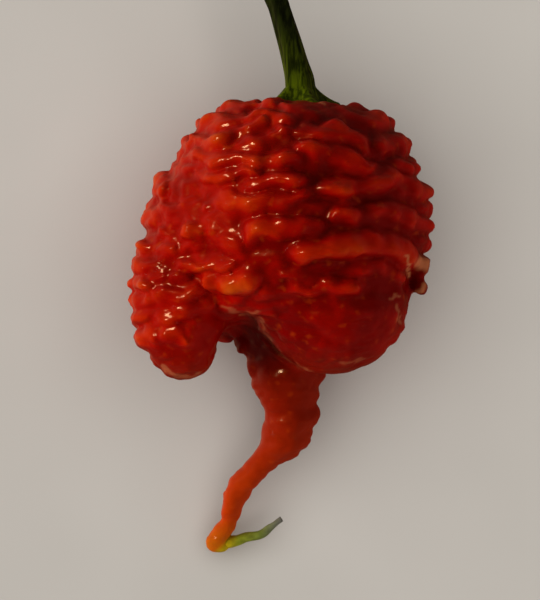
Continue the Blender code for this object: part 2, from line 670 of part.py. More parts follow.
def make_stem_and_calyx(group):
    """The ridged stem, flaring into a toothed calyx that lies on the crown."""
    angles = 2.0 * math.pi * np.arange(STEM_SIDES) / STEM_SIDES
    cut, rings = stem_rings(angles)
    foot = rings[-1]
    foot_reach = np.hypot(foot[:, 0] - CALYX_AXIS[0], foot[:, 2] - CALYX_AXIS[1])
    foot_lift = (foot[:, 1] - seat_ring(foot_reach, angles)[:, 1]).mean()
    rim = calyx_rim(angles)
    under = []
    for share in CALYX_RINGS:
        seat = seat_ring(mixed(foot_reach, rim, share), angles)
        lift = mixed(CALYX_RIM, foot_lift, (1.0 - share) ** CALYX_FOOT)
        rings.append(seat + np.array((0.0, lift, 0.0)))
        under.append(seat)
    rings.append(seat_ring(rim, angles) + np.array((0.0, CALYX_EDGE, 0.0)))
    rings.extend(reversed(under))
    centre = seat_ring(np.zeros(1), np.zeros(1))[0]
    mesh = lofted("stem_and_calyx", placed(cut), [placed(row) for row in rings], placed(centre))
    mesh.shade_smooth()
    mesh.materials.append(surface("stem_green", (0.09, 0.16, 0.02), 0.45))
    linked("stem_and_calyx", mesh, group)


def make_style_remnant(group):
    """The withered style, a thin thread that tapers to its tip."""
    path = eased(STYLE, STYLE_STEPS)
    curve = bpy.data.curves.new("style_remnant", "CURVE")
    curve.dimensions = "3D"
    curve.bevel_depth = MM
    curve.bevel_resolution = STYLE_ROUNDNESS
    curve.use_fill_caps = True
    line = curve.splines.new("POLY")
    line.points.add(len(path) - 1)
    for point, place, radius in zip(line.points, placed(path[:, :3]), path[:, 3]):
        point.co = (*place, 1.0)
        point.radius = radius
    curve.materials.append(surface("dried_style", (0.3, 0.32, 0.08), 0.6))
    linked("style_remnant", curve, group)


for old in list(bpy.data.objects):
    bpy.data.objects.remove(old)

pieces = bpy.data.collections.new(COLLECTION)
bpy.context.scene.collection.children.link(pieces)
tools = bpy.data.collections.new("cutters")
bpy.context.scene.collection.children.link(tools)

make_pod(pieces, make_rest_cutter(tools))
make_stem_and_calyx(pieces)
make_style_remnant(pieces)
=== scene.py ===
"""Hydra chili pepper: the fresh pod's wrinkled skin, its stem and calyx, and its dried style.

The pepper lies on its back with the stem along +Y, and the side that the
photograph shows looks up along +Z. Shapes are drawn in millimetres and become
metres, about the middle of the flat spot that the pod rests on.
"""

import math

import bmesh
import bpy
import numpy as np
from mathutils import Matrix, Vector, noise


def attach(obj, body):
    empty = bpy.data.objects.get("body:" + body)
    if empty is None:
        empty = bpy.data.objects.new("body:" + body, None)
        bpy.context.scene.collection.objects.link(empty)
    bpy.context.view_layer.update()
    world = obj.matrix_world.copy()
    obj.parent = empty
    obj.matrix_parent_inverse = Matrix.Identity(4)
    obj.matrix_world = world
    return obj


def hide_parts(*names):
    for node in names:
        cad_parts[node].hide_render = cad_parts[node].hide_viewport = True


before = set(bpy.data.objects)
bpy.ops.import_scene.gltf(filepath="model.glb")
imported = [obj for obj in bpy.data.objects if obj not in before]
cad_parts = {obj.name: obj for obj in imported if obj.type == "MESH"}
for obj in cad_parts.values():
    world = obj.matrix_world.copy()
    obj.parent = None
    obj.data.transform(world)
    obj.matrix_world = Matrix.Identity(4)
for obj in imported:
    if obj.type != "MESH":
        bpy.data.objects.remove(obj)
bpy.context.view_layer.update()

# The pod.
# A ripe superhot pod grows as one thin-walled bladder: shoulders round the stem, a broad
# belly, two blunt lobes and a tail that tapers from behind the right lobe to a rounded heel.
# The part's source builds it from the same form and the same folds, with coarser triangles.
MM = 0.001

# Where the flat spot's middle lies in the drawing, whose millimetres all the values below use
REST_SPOT = (0.4, -0.2, 1.4)

# Swellings of the pod: centre, radii and turn about the up axis in degrees
LUMPS = (
    ((1.0, 5.6, 18.5), (16.0, 12.8, 16.4), 0),
    ((-5.2, 8.8, 20.5), (7.8, 8.8, 12.5), 16),
    ((8.4, 9.4, 17.5), (8.4, 8.5, 13.5), -12),
    ((1.4, 9.6, 25.4), (8.6, 8.6, 7.4), 0),
    ((2.0, 9.0, 11.0), (10.0, 8.8, 7.6), 0),
    ((1.0, 0.0, 18.2), (18.2, 13.6, 17.6), 0),
    ((-11.0, 1.8, 19.5), (6.6, 8.4, 10.5), 6),
    ((11.2, 3.4, 18.5), (8.0, 9.6, 11.5), 0),
    ((-14.1, -7.6, 21.6), (6.1, 10.0, 7.8), 4),
    ((-13.8, -13.7, 21.4), (5.5, 5.9, 6.9), 0),
    ((7.2, -8.7, 20.5), (10.0, 10.4, 12.2), -18),
    ((3.5, -7.0, 10.8), (9.0, 8.4, 8.4), 0),
    ((-7.5, -4.5, 10.5), (8.0, 9.5, 8.8), 14),
)
LUMP_BLEND = 2.4

# Hollows between them: the seat of the calyx, the cleft beside the left lobe, the furrow behind
HOLLOWS = (
    ((2.5, 22.5, 18.2), (5.0, 4.0, 5.0), 0, 2.6),
    ((-6.3, -16.6, 25.0), (3.1, 7.0, 11.0), -10, 1.4),
    ((-5.4, -15.5, 33.0), (4.6, 5.6, 9.0), 0, 1.2),
    ((-2.4, -14.5, 1.0), (2.2, 8.0, 8.0), 12, 2.4),
)

# The tail from its root behind the right lobe to its rounded heel: x, y, z and radius
TAIL = (
    (0.8, -10.0, 12.6, 6.6),
    (0.3, -14.0, 12.0, 5.8),
    (0.5, -16.8, 11.8, 4.9),
    (0.5, -19.4, 11.7, 4.6),
    (0.6, -21.4, 11.6, 4.2),
    (0.9, -23.6, 11.4, 3.4),
    (0.9, -25.6, 11.0, 3.35),
    (0.4, -27.6, 10.7, 3.2),
    (-0.7, -29.3, 10.1, 2.5),
    (-2.2, -31.0, 9.5, 1.85),
    (-3.6, -32.4, 8.9, 1.7),
    (-5.1, -33.8, 8.3, 1.55),
    (-6.1, -35.3, 7.7, 1.55),
    (-7.0, -36.9, 7.1, 1.4),
    (-7.5, -38.9, 6.4, 1.28),
    (-8.0, -40.8, 5.8, 1.15),
    (-8.8, -42.2, 5.4, 1.15),
    (-9.9, -43.3, 5.1, 1.1),
)
TAIL_STEPS = 3
TAIL_BLEND = 0.9

# Beads on the right flank and warts on the tail: x, y, z and radius
WARTS = (
    (19.4, -3.6, 22.5, 1.1),
    (18.7, -6.6, 22.0, 1.15),
    (-5.5, -14.9, 13.0, 1.45),
    (-3.5, -18.2, 12.4, 1.5),
    (-2.6, -20.8, 12.0, 1.6),
    (4.6, -19.2, 12.0, 1.4),
    (3.3, -21.8, 11.8, 1.45),
    (3.75, -24.7, 11.5, 1.55),
    (2.2, -27.6, 11.0, 1.7),
    (-1.5, -31.0, 9.6, 1.5),
    (-5.0, -34.4, 8.2, 1.3),
    (-8.6, -43.5, 5.0, 0.95),
)
WART_BLEND = 0.7

# How points are drawn onto the form: rounds, the step its slope is felt with, and the least
# square of a slope that a round divides by
SETTLING = 4
FEELER = 0.05
LEAST_SLOPE_SQUARE = 0.2


def ellipsoid_distance(points, centre, radii, turn):
    """Signed distance, near enough, from points to an ellipsoid turned about Z."""
    angle = math.radians(turn)
    away = points - np.array(centre)
    x = away[:, 0] * math.cos(angle) + away[:, 1] * math.sin(angle)
    y = away[:, 1] * math.cos(angle) - away[:, 0] * math.sin(angle)
    local = np.stack((x, y, away[:, 2]), axis=1) / np.array(radii)
    reach = np.linalg.norm(local, axis=1)
    slope = np.linalg.norm(local / np.array(radii), axis=1)
    return reach * (reach - 1.0) / np.maximum(slope, 1e-9)


def blend(first, second, width):
    """Union of two distances, rounded where they meet."""
    share = np.clip(0.5 + 0.5 * (second - first) / width, 0.0, 1.0)
    return second + (first - second) * share - width * share * (1.0 - share)


def eased(points, steps):
    """A path through the given points, with steps between each two of them."""
    knots = np.array(points)
    path = []
    for i in range(len(knots) - 1):
        before = knots[max(i - 1, 0)]
        start = knots[i]
        end = knots[i + 1]
        after = knots[min(i + 2, len(knots) - 1)]
        for step in range(steps):
            t = step / steps
            pull = (end - before) * t
            bend = (2.0 * before - 5.0 * start + 4.0 * end - after) * t * t
            twist = (3.0 * start - before - 3.0 * end + after) * t ** 3
            path.append(start + 0.5 * (pull + bend + twist))
    path.append(knots[-1])
    return np.array(path)


def tail_distance(points):
    """Distance to the tail, a chain of tapering round lengths."""
    path = eased(TAIL, TAIL_STEPS)
    nearest = np.full(len(points), 1e9)
    for start, end in zip(path[:-1], path[1:]):
        along = end[:3] - start[:3]
        t = np.clip((points - start[:3]) @ along / (along @ along), 0.0, 1.0)
        away = np.linalg.norm(points - start[:3] - t[:, None] * along, axis=1)
        nearest = np.minimum(nearest, away - start[3] - (end[3] - start[3]) * t)
    return nearest


def form_distance(points):
    """Signed distance to the pod as it would be without its wrinkles."""
    reach = None
    for centre, radii, turn in LUMPS:
        lump = ellipsoid_distance(points, centre, radii, turn)
        reach = lump if reach is None else blend(reach, lump, LUMP_BLEND)
    for centre, radii, turn, width in HOLLOWS:
        hollow = ellipsoid_distance(points, centre, radii, turn)
        reach = -blend(-reach, hollow, width)
    reach = blend(reach, tail_distance(points), TAIL_BLEND)
    for x, y, z, radius in WARTS:
        wart = np.linalg.norm(points - (x, y, z), axis=1) - radius
        reach = blend(reach, wart, WART_BLEND)
    return reach


def slope_of(points):
    """The direction in which the form's distance grows."""
    slope = np.empty_like(points)
    for axis in range(3):
        shift = np.zeros(3)
        shift[axis] = FEELER
        rise = form_distance(points + shift) - form_distance(points - shift)
        slope[:, axis] = rise / (2.0 * FEELER)
    return slope


def settled(points):
    """Points moved onto the surface of the form."""
    for _ in range(SETTLING):
        slope = slope_of(points)
        square = np.maximum((slope ** 2).sum(axis=1), LEAST_SLOPE_SQUARE)
        points = points - (form_distance(points) / square)[:, None] * slope
    return points


# The pod's wrinkles.
# The skin grows faster than the wall under it and buckles into rounded rolls across the pod,
# with sharp creases between them; the largest folds follow the ones seen in the photograph.

# Folds drawn on the skin as seen from above: half width, height and the line of the crest
FOLDS = (
    (1.0, 0.7, ((-6.6, 19.3), (-2.9, 19.3), (0.4, 18.9))),
    (1.1, 1.1, ((-10.8, 17.1), (-9.4, 17.9), (-6.0, 18.1), (-2.9, 17.8), (-0.4, 18.2))),
    (0.6, 0.5, ((-4.3, 16.8), (-2.9, 17.9), (-1.8, 18.8))),
    (1.0, 1.0, ((-11.2, 15.4), (-9.4, 15.5), (-7.1, 15.3), (-4.6, 15.5), (-2.9, 16.4),
                (-1.1, 16.2), (1.0, 15.5))),
    (0.8, 1.0, ((-11.6, 13.3), (-9.9, 12.3), (-8.0, 13.0), (-6.0, 14.1), (-3.8, 14.7), (-2.4, 15.4))),
    (1.7, 1.3, ((-13.9, 13.4), (-13.7, 12.0))),
    (1.1, 1.0, ((-5.6, 12.2), (-3.5, 12.5), (-1.0, 13.3), (1.0, 13.7))),
    (1.1, 1.0, ((-13.9, 10.9), (-11.3, 11.2), (-9.7, 10.5), (-7.7, 10.1), (-6.0, 10.5),
                (-2.9, 9.8), (-0.1, 10.4), (1.8, 10.9))),
    (1.0, 1.1, ((-11.6, 8.8), (-9.7, 8.0), (-7.7, 8.0), (-5.5, 9.2), (-3.5, 8.5))),
    (1.4, 1.3, ((-16.4, 9.2), (-16.4, 6.7))),
    (1.1, 0.8, ((-14.7, 9.4), (-11.6, 9.1))),
    (1.0, 1.0, ((-4.6, 7.0), (-2.9, 7.0), (-1.0, 7.7), (1.8, 7.3))),
    (0.6, 0.5, ((-15.0, 8.1), (-15.4, 5.3))),
    (1.1, 1.1, ((-8.5, 4.5), (-6.7, 5.3), (-4.6, 4.5), (-0.4, 4.5), (2.4, 5.3))),
    (0.6, 0.6, ((-10.5, 3.8), (-9.4, 4.1))),
    (0.6, 0.6, ((-10.6, 2.1), (-9.7, 2.8), (-8.5, 3.2))),
    (0.9, 0.6, ((-13.2, 6.9), (-11.8, 6.4))),
    (0.8, 0.6, ((-10.9, 6.3), (-9.6, 6.0))),
    (0.8, 0.6, ((-13.4, 4.6), (-12.2, 4.9))),
    (0.9, 0.5, ((-15.6, 2.4), (-14.3, 2.0))),
    (0.8, 0.5, ((-12.4, 2.8), (-11.4, 3.0))),
    (1.4, 1.4, ((-18.3, 4.2), (-18.5, 2.2))),
    (0.7, 0.6, ((-16.7, 4.5), (-15.0, 3.4))),
    (1.3, 1.3, ((-12.6, 1.4), (-11.9, 0.8))),
    (1.3, 0.7, ((-8.9, 1.0), (-7.4, 0.1), (-5.8, -1.2))),
    (1.1, 1.1, ((-4.6, -0.3), (-3.8, 1.0), (-2.1, 1.7), (0.3, 1.3), (3.8, 1.0))),
    (1.0, 0.6, ((-18.3, 0.3), (-17.5, 0.0))),
    (0.7, 0.7, ((-16.9, 1.1), (-15.1, -0.1))),
    (1.3, 1.1, ((-19.7, -1.7), (-18.6, -1.5))),
    (1.3, 1.1, ((-20.2, -4.1), (-18.6, -3.9))),
    (1.1, 1.1, ((-20.2, -6.3), (-18.6, -6.3))),
    (1.1, 1.1, ((-19.9, -8.5), (-18.6, -8.7))),
    (1.1, 1.1, ((-19.6, -11.1), (-18.3, -10.9))),
    (1.1, 1.0, ((-18.8, -13.4), (-17.8, -13.4))),
    (1.1, 0.9, ((-16.9, -2.1), (-15.8, -1.8), (-14.7, -2.0))),
    (0.7, 0.7, ((-13.6, -2.0), (-12.5, -1.3), (-11.6, -1.7))),
    (0.8, 1.0, ((-14.1, -3.5), (-12.2, -3.6), (-9.7, -3.6), (-7.4, -4.1))),
    (0.6, 0.5, ((-11.6, -2.4), (-10.5, -3.2))),
    (0.8, 0.7, ((-17.5, -5.5), (-16.4, -5.2))),
    (0.7, 0.6, ((-15.0, -5.5), (-13.7, -5.7))),
    (1.1, 0.9, ((-16.9, -8.0), (-15.5, -8.1), (-13.9, -8.3), (-11.9, -7.6))),
    (0.7, 0.5, ((-16.5, -9.7), (-15.5, -9.5))),
    (0.7, 0.6, ((-13.7, -9.5), (-12.2, -8.7))),
    (1.0, 0.8, ((-17.5, -11.1), (-13.7, -10.2), (-10.9, -8.8))),
    (0.8, 0.8, ((-16.1, -13.4), (-14.4, -13.4), (-13.3, -14.3))),
    (1.0, 0.5, ((-11.9, -11.8), (-13.0, -13.4))),
    (0.4, 0.2, ((-16.9, -16.8), (-14.1, -16.8))),
    (0.4, 0.3, ((-14.4, -17.9), (-12.2, -17.1))),
    (0.8, 0.4, ((-15.0, -19.0), (-14.4, -19.2))),
    (1.1, 0.5, ((-12.7, -18.6), (-12.0, -18.6))),
    (0.9, 0.5, ((-0.6, -3.9), (0.2, -4.1))),
    (0.8, 0.9, ((0.1, -5.0), (1.7, -5.0), (3.8, -6.0))),
    (1.4, 1.5, ((-8.5, -5.9), (-6.6, -6.3), (-4.3, -6.4))),
    (1.1, 1.1, ((-2.9, -7.4), (-1.3, -7.4), (2.4, -7.0), (6.6, -6.6), (9.4, -6.9))),
    (0.7, 0.6, ((-1.1, -6.3), (0.1, -6.7))),
    (0.9, 1.2, ((-8.5, -8.7), (-6.0, -9.8), (-3.5, -9.8), (-1.5, -10.2))),
    (1.0, 0.5, ((-1.1, -9.2), (2.4, -10.1))),
    (0.8, 0.8, ((0.0, 17.6), (2.4, 16.8), (4.6, 16.5), (6.6, 17.1))),
    (1.1, 1.1, ((5.9, 17.9), (8.0, 16.9), (10.1, 16.1), (11.9, 16.2), (13.9, 15.4))),
    (1.0, 0.8, ((9.4, 17.9), (11.1, 17.8), (12.5, 16.8))),
    (1.1, 1.1, ((0.0, 14.1), (2.4, 14.1), (4.9, 13.7), (7.3, 14.1), (9.4, 13.4),
                (11.1, 12.9), (11.3, 11.9))),
    (1.3, 1.1, ((12.5, 12.7), (14.3, 13.2), (16.1, 12.3))),
    (1.1, 1.2, ((2.4, 11.9), (4.5, 11.5), (7.3, 11.2), (9.4, 10.4), (11.1, 9.4))),
    (1.0, 1.1, ((15.7, 9.7), (17.1, 9.4), (18.3, 9.4))),
    (0.7, 0.6, ((18.8, 8.3), (18.9, 7.8))),
    (1.1, 1.2, ((5.9, 6.2), (8.7, 6.2), (11.1, 6.7), (12.5, 7.3), (13.9, 8.1),
                (15.5, 8.3), (16.7, 7.1), (18.3, 6.4), (19.5, 6.3))),
    (0.8, 0.6, ((2.4, 4.3), (6.6, 4.3), (10.1, 4.8))),
    (1.0, 1.1, ((7.3, 3.4), (9.4, 2.8), (11.5, 3.4), (14.3, 3.5), (16.1, 3.1), (17.8, 2.2), (19.5, 1.7))),
    (1.1, 1.2, ((19.7, 3.9), (20.0, 3.9))),
    (1.3, 1.3, ((2.8, -2.1), (5.9, -2.0), (8.7, -1.3), (11.1, -0.6), (14.3, -0.8),
                (16.4, -2.0), (17.0, -3.0))),
    (1.0, 1.0, ((8.7, -4.2), (10.8, -3.9), (12.5, -3.9), (14.3, -4.9), (15.4, -5.5))),
    (0.8, 0.6, ((4.3, -3.4), (8.0, -3.6))),
    (0.7, 0.5, ((10.6, -6.3), (10.9, -6.6))),
    (1.0, 1.0, ((19.2, -0.4), (19.5, -0.7))),
    (1.6, 0.35, ((6.6, -9.8), (8.7, -9.7), (10.5, -9.5), (11.9, -9.1), (13.3, -8.5),
                 (14.6, -8.6), (15.6, -9.4))),
    (0.8, 0.6, ((-2.7, -11.5), (-2.2, -13.7), (-1.0, -15.7), (1.0, -17.4), (3.8, -19.3))),
    (0.7, 0.4, ((0.3, -11.5), (2.4, -11.3))),
    (0.7, 0.4, ((0.1, -13.3), (2.1, -14.1))),
    (0.4, 0.3, ((9.4, -16.7), (11.9, -16.4))),
    (0.8, 0.4, ((5.9, -19.0), (8.7, -18.6))),
    (1.0, 0.5, ((12.5, -16.5), (13.3, -16.1))),
    (1.1, 0.5, ((15.7, -13.3), (16.1, -12.6))),
)

# Each drawn fold swells until it meets the next in a sharp crease, sunk a little into the form;
# one that has no neighbour fades out over these multiples of its half width. Skin that faces
# towards the tail keeps this share of its folds
FOLD_SCALE = 1.5
FOLD_SUNK = 0.3
FOLD_ROUNDNESS = 0.5
FOLD_FADE = (2.4, 1.0)
FOLD_ENDS = 0.4

# Noise that bends the drawn folds and lumps their crests
FOLD_BEND = 0.4
FOLD_BEND_GRAIN = 2.2
FOLD_BEND_SEEDS = (51.3, 57.9)
FOLD_LUMPS = 0.6
FOLD_LUMP_GRAIN = 2.4
FOLD_LUMP_SEED = 63.1

# Heights between which the skin turns from the back into the front. The front has the folds as
# drawn; on the back they run mirrored about this x and shifted this far along the pod
FRONT_FADE = (10.0, 17.0)
MIRROR_X = 0.7
BACK_SHIFT = 1.3

# Down the flanks the folds sway along the pod, more and more between these heights
SWAY_FADE = (24.0, 14.0)
SWAY = 1.6
SWAY_GRAIN = 6.0
SWAY_SEED = 31.3

# Rolls that run round the pod's axis everywhere between the drawn folds; above and below
# the belly they are counted by angle, so that they close in on the stem and on the tail
ROLL_PITCH = 3.1
ROLL_HEIGHT = 0.95
ROLL_ROUNDNESS = 0.75
ROLL_FULLNESS = 0.8
POD_AXIS = (1.0, 18.0)
CROWN_Y = 2.0
CROWN_RADIUS = 18.0
FOOT_Y = -5.0
FOOT_RADIUS = 13.0

# Noise that bends the rolls and lumps each one: grain size and weight
BENDS = ((11.0, 1.0, 3.1), (4.6, 0.42, 17.7))
LUMPINESS = ((3.4, 0.55, 5.5), (1.7, 0.25, 9.5))
ROLL_SHIFT = 7.31

# Cushions on the skin that faces along the pod, towards the stem or the tail
CUSHION_HEIGHT = 1.2
CUSHION_GRAIN = 3.2
CUSHION_STEEPNESS = 3.4
CUSHION_ROUNDNESS = 0.7
CUSHION_SEED = 43.9
CUSHION_FACING = (0.45, 0.8)

# Shares of the rolls and cushions that are kept on the lobe ends and above them, and on the tail
LOBE_ENDS = (-15.0, -9.0)
FRONT_ROLLS = (0.28, 0.85)
BACK_ROLLS = (0.9, 1.3)
TAIL_ROLLS = 0.3
TAIL_FADE = (-21.0, -17.5)

# The folds sag a little towards the tail, and calm down near the surface and under the calyx
SAG = 0.1
SAG_POWER = 1.5
SAG_FADE = (-20.0, -14.0)
REST_CALM = (2.8, 6.5)
CALYX_AXIS = (2.4, 18.2)
CALYX_SMOOTH = (6.0, 7.6)
CALYX_SMOOTH_Y = (12.0, 15.0)


def ramp(low, high, value):
    """Rises smoothly from 0 at low to 1 at high; falls where low is the larger."""
    t = np.clip((value - low) / (high - low), 0.0, 1.0)
    return t * t * (3.0 - 2.0 * t)


def murmur(points, size, seed):
    """Smooth noise of the given grain size."""
    grain = points / np.array(size) + seed
    return np.array([noise.noise(place) for place in grain.tolist()])


def line_reach(flat, line):
    """Distance from points seen from above to a drawn line."""
    crest = np.array(line)
    away = np.full(len(flat), 1e9)
    for start, end in zip(crest[:-1], crest[1:]):
        along = end - start
        t = np.clip((flat - start) @ along / (along @ along), 0.0, 1.0)
        off = flat - start - t[:, None] * along
        away = np.minimum(away, (off ** 2).sum(axis=1))
    return np.sqrt(away)


def fold_height(flat):
    """Height of the drawn folds at points seen from above: round crests, sharp creases."""
    nearest = np.full(len(flat), 1e6)
    second = np.full(len(flat), 2e6)
    top = np.zeros(len(flat))
    for half_width, height, line in FOLDS:
        reach = line_reach(flat, line) / half_width
        closer = reach < nearest
        second = np.where(closer, nearest, np.minimum(second, reach))
        nearest = np.where(closer, reach, nearest)
        top = np.where(closer, height, top)
    swell = 1.0 - (2.0 * nearest / (nearest + second)) ** 2
    return top * swell ** FOLD_ROUNDNESS * ramp(*FOLD_FADE, nearest)


def bent(points, away):
    """Points seen from above, moved a little so that the folds drawn there waver."""
    waver = [FOLD_BEND * murmur(points, FOLD_BEND_GRAIN, seed) for seed in FOLD_BEND_SEEDS]
    return np.stack((points[:, 0] + waver[0], points[:, 1] + waver[1] + away), axis=1)


def roll_height(points):
    """Rolls across the pod: round crests, sharp valleys, and lumps along each roll."""
    y = points[:, 1]
    off_axis = np.hypot(points[:, 0] - POD_AXIS[0], points[:, 2] - POD_AXIS[1])
    over_crown = CROWN_Y + CROWN_RADIUS * np.arctan2(y - CROWN_Y, off_axis)
    under_foot = FOOT_Y + FOOT_RADIUS * np.arctan2(y - FOOT_Y, off_axis)
    along = np.where(y > CROWN_Y, over_crown, np.where(y < FOOT_Y, under_foot, y))
    phase = along / ROLL_PITCH
    for grain, weight, seed in BENDS:
        phase = phase + weight * murmur(points, grain, seed)
    roll = np.round(phase)
    own = points.copy()
    own[:, 1] = roll * ROLL_SHIFT
    lumps = np.full(len(points), ROLL_FULLNESS)
    for grain, weight, seed in LUMPINESS:
        lumps = lumps + weight * murmur(own, (grain, 1.0, grain), seed)
    return np.cos(np.pi * (phase - roll)) ** ROLL_ROUNDNESS * lumps


def cushion_height(points):
    """Small cushions with sharp creases between them."""
    height = CUSHION_STEEPNESS * np.abs(murmur(points, CUSHION_GRAIN, CUSHION_SEED))
    return np.minimum(1.0, height) ** CUSHION_ROUNDNESS


def mixed(first, second, share):
    """From the first value at share 0 to the second at share 1."""
    return first + (second - first) * share


def wrinkle_height(points, outward):
    """How far the skin stands off the form."""
    x = points[:, 0]
    y = points[:, 1]
    z = points[:, 2]
    rolls = roll_height(points)
    facing = ramp(*CUSHION_FACING, np.abs(outward[:, 1]))
    filling = mixed(ROLL_HEIGHT * rolls, CUSHION_HEIGHT * cushion_height(points), facing)
    sway = SWAY * ramp(*SWAY_FADE, z) * murmur(points, SWAY_GRAIN, SWAY_SEED)
    seen = bent(points, sway)
    behind = bent(points, sway - BACK_SHIFT) * (-1.0, 1.0) + (2.0 * MIRROR_X, 0.0)
    lumps = FOLD_SCALE * (1.0 + FOLD_LUMPS * murmur(points, FOLD_LUMP_GRAIN, FOLD_LUMP_SEED))
    lumps = lumps * mixed(1.0, FOLD_ENDS, ramp(*CUSHION_FACING, -outward[:, 1]))
    above_ends = ramp(*LOBE_ENDS, y)
    between_front = filling * mixed(*FRONT_ROLLS, above_ends)
    between_back = filling * mixed(*BACK_ROLLS, above_ends)
    front = np.maximum(lumps * fold_height(seen), between_front)
    back = np.maximum(lumps * fold_height(behind), between_back)
    body = mixed(back, front, ramp(*FRONT_FADE, z)) - FOLD_SUNK
    tail = TAIL_ROLLS * rolls
    on_body = ramp(*TAIL_FADE, y)
    off_calyx = np.hypot(x - CALYX_AXIS[0], z - CALYX_AXIS[1])
    under_calyx = ramp(CALYX_SMOOTH[1], CALYX_SMOOTH[0], off_calyx) * ramp(*CALYX_SMOOTH_Y, y)
    at_rest = ramp(REST_CALM[1], REST_CALM[0], z) * on_body
    return mixed(tail, body, on_body) * (1.0 - under_calyx) * (1.0 - at_rest)


def wrinkled(points):
    """Settled points lifted into folds that sag a little towards the tail."""
    slope = slope_of(points)
    outward = slope / np.maximum(np.linalg.norm(slope, axis=1), 1e-9)[:, None]
    height = wrinkle_height(points, outward)
    moved = points + outward * height[:, None]
    sideways = 1.0 - np.abs(outward[:, 1])
    sag = SAG * np.maximum(height, 0.0) ** SAG_POWER * sideways
    moved[:, 1] -= sag * ramp(*SAG_FADE, points[:, 1])
    return moved


# The pod's skin as a mesh.
# Round bodies are fused into one skin, drawn onto the form, folded, and laid again in even
# squares, so that the creases stay clean; then the finest crinkles are pressed in.
LUMP_ROUNDS = 4
BEAD_ROUNDS = 2
SKIN_SQUARE = 0.31
SKIN_EASING = 5
EASING_SHARE = 0.5

# Fine crinkles: grain size, depth and seed. They are this much longer across the pod than
# along it, sink by this share of their depth, and are deeper on the left side and on the tail
CRINKLES = ((2.6, 0.24, 67.0), (1.5, 0.1, 61.0), (0.9, 0.05, 71.0))
CRINKLE_STRETCH = 2.2
CRINKLE_SUNK = 0.5
LEFT_SIDE = (-6.0, -13.0)
LEFT_RIND = 0.3
TAIL_SIDE = (-19.0, -22.0)
TAIL_RIND = 0.4

# Height over the form at which the skin counts as deep in a crease and as on top of a crest: between them
# the colour runs from painted shade in the creases to painted light on the crests
CREASE_SHADE_RANGE = (-0.3, 2.9)

# The skin's red is painted brighter and more orange from right to left, as painted light on the lit left
# side and painted shade on the right, and brighter on the smooth end of the right lobe as painted light
LIT_SIDE_PAINT = (-0.15, 0.18)
LIT_SIDE_SPAN = (7.0, -14.0)
LIT_LOBE_PAINT = 0.28
LIT_LOBE_X = (0.0, 8.0)
LIT_LOBE_Y = (-8.0, -12.0)

# Pale edges and beads seen in the photograph, where the skin is thin enough to let light through, painted
# into the colour as a glow of light and as pale highlights along the edges: half width, paleness and line
PAINTED_GLOW_LINES = (
    (1.5, 0.6, ((19.3, -3.6), (19.6, -3.6))),
    (0.5, 0.6, ((18.4, -7.7), (19.3, -7.3), (19.7, -6.6))),
    (0.35, 0.6, ((16.9, -2.6), (17.3, -3.6), (17.2, -4.6), (17.6, -5.4))),
    (0.25, 0.25, ((14.7, -8.4), (15.3, -8.1), (16.2, -8.3))),
    (0.3, 0.3, ((15.5, -9.6), (16.1, -10.3), (15.8, -11.2), (16.4, -11.9))),
    (0.25, 0.22, ((8.0, -17.4), (9.8, -17.2), (11.0, -16.8))),
    (0.4, 0.35, ((-16.6, -18.0), (-15.6, -18.8), (-14.2, -19.4), (-12.6, -19.6), (-11.6, -18.8))),
    (0.3, 0.3, ((-8.5, -9.4), (-7.2, -10.1), (-6.0, -10.5), (-4.8, -10.6), (-3.4, -10.4))),
    (0.3, 0.28, ((-3.0, -11.2), (-2.7, -13.0), (-1.3, -15.2), (0.4, -16.8), (2.6, -18.2),
                 (4.6, -19.2))),
    (0.35, 0.5, ((0.6, 19.5), (2.6, 19.3), (4.6, 18.9), (5.8, 18.5))),
)

# They fade out within these shares of their half width, waver, and lie on skin that is at
# least this high and faces at least this much up
THIN_EDGE = (1.0, 0.4)
THIN_WAVER = 0.4
THIN_WAVER_GRAIN = 0.9
THIN_WAVER_SEEDS = (81.7, 87.1)
THIN_FRONT = (16.0, 19.0)
THIN_FACING = (0.0, 0.3)


def placed(points):
    """Drawing millimetres to metres about the rest spot."""
    return (np.array(points) - np.array(REST_SPOT)) * MM


def vectors(items, name):
    """One three-part value from each item of a mesh."""
    flat = np.empty(len(items) * 3)
    items.foreach_get(name, flat)
    return flat.reshape(-1, 3)


def move_points(mesh, points):
    """Gives a mesh new places for its vertices."""
    mesh.vertices.foreach_set("co", np.asarray(points, dtype=np.float32).ravel())
    mesh.update()


def linked(name, data):
    """A new object in the scene."""
    piece = bpy.data.objects.new(name, data)
    bpy.context.scene.collection.objects.link(piece)
    return piece


def remeshed(mesh, easing):
    """One even skin of squares round everything in the mesh, eased a few times."""
    piece = linked("skin", mesh)
    skin = piece.modifiers.new("skin", "REMESH")
    skin.mode = "VOXEL"
    skin.voxel_size = SKIN_SQUARE
    if easing:
        ease = piece.modifiers.new("ease", "SMOOTH")
        ease.factor = EASING_SHARE
        ease.iterations = easing
    graph = bpy.context.evaluated_depsgraph_get()
    result = bpy.data.meshes.new_from_object(piece.evaluated_get(graph))
    bpy.data.objects.remove(piece)
    return result


shape = bmesh.new()
for centre, radii, turn in LUMPS:
    place = Matrix.Translation(centre) @ Matrix.Rotation(math.radians(turn), 4, "Z")
    bmesh.ops.create_icosphere(
        shape, subdivisions=LUMP_ROUNDS, radius=1.0, matrix=place @ Matrix.Diagonal((*radii, 1.0)))
for x, y, z, radius in (*eased(TAIL, 2 * TAIL_STEPS), *WARTS):
    bmesh.ops.create_icosphere(
        shape, subdivisions=BEAD_ROUNDS, radius=radius, matrix=Matrix.Translation((x, y, z)))
pod_mesh = bpy.data.meshes.new("pod_skin")
shape.to_mesh(pod_mesh)
shape.free()

pod_mesh = remeshed(pod_mesh, 0)
move_points(pod_mesh, wrinkled(settled(vectors(pod_mesh.vertices, "co"))))
pod_mesh = remeshed(pod_mesh, SKIN_EASING)
pod_mesh.update()

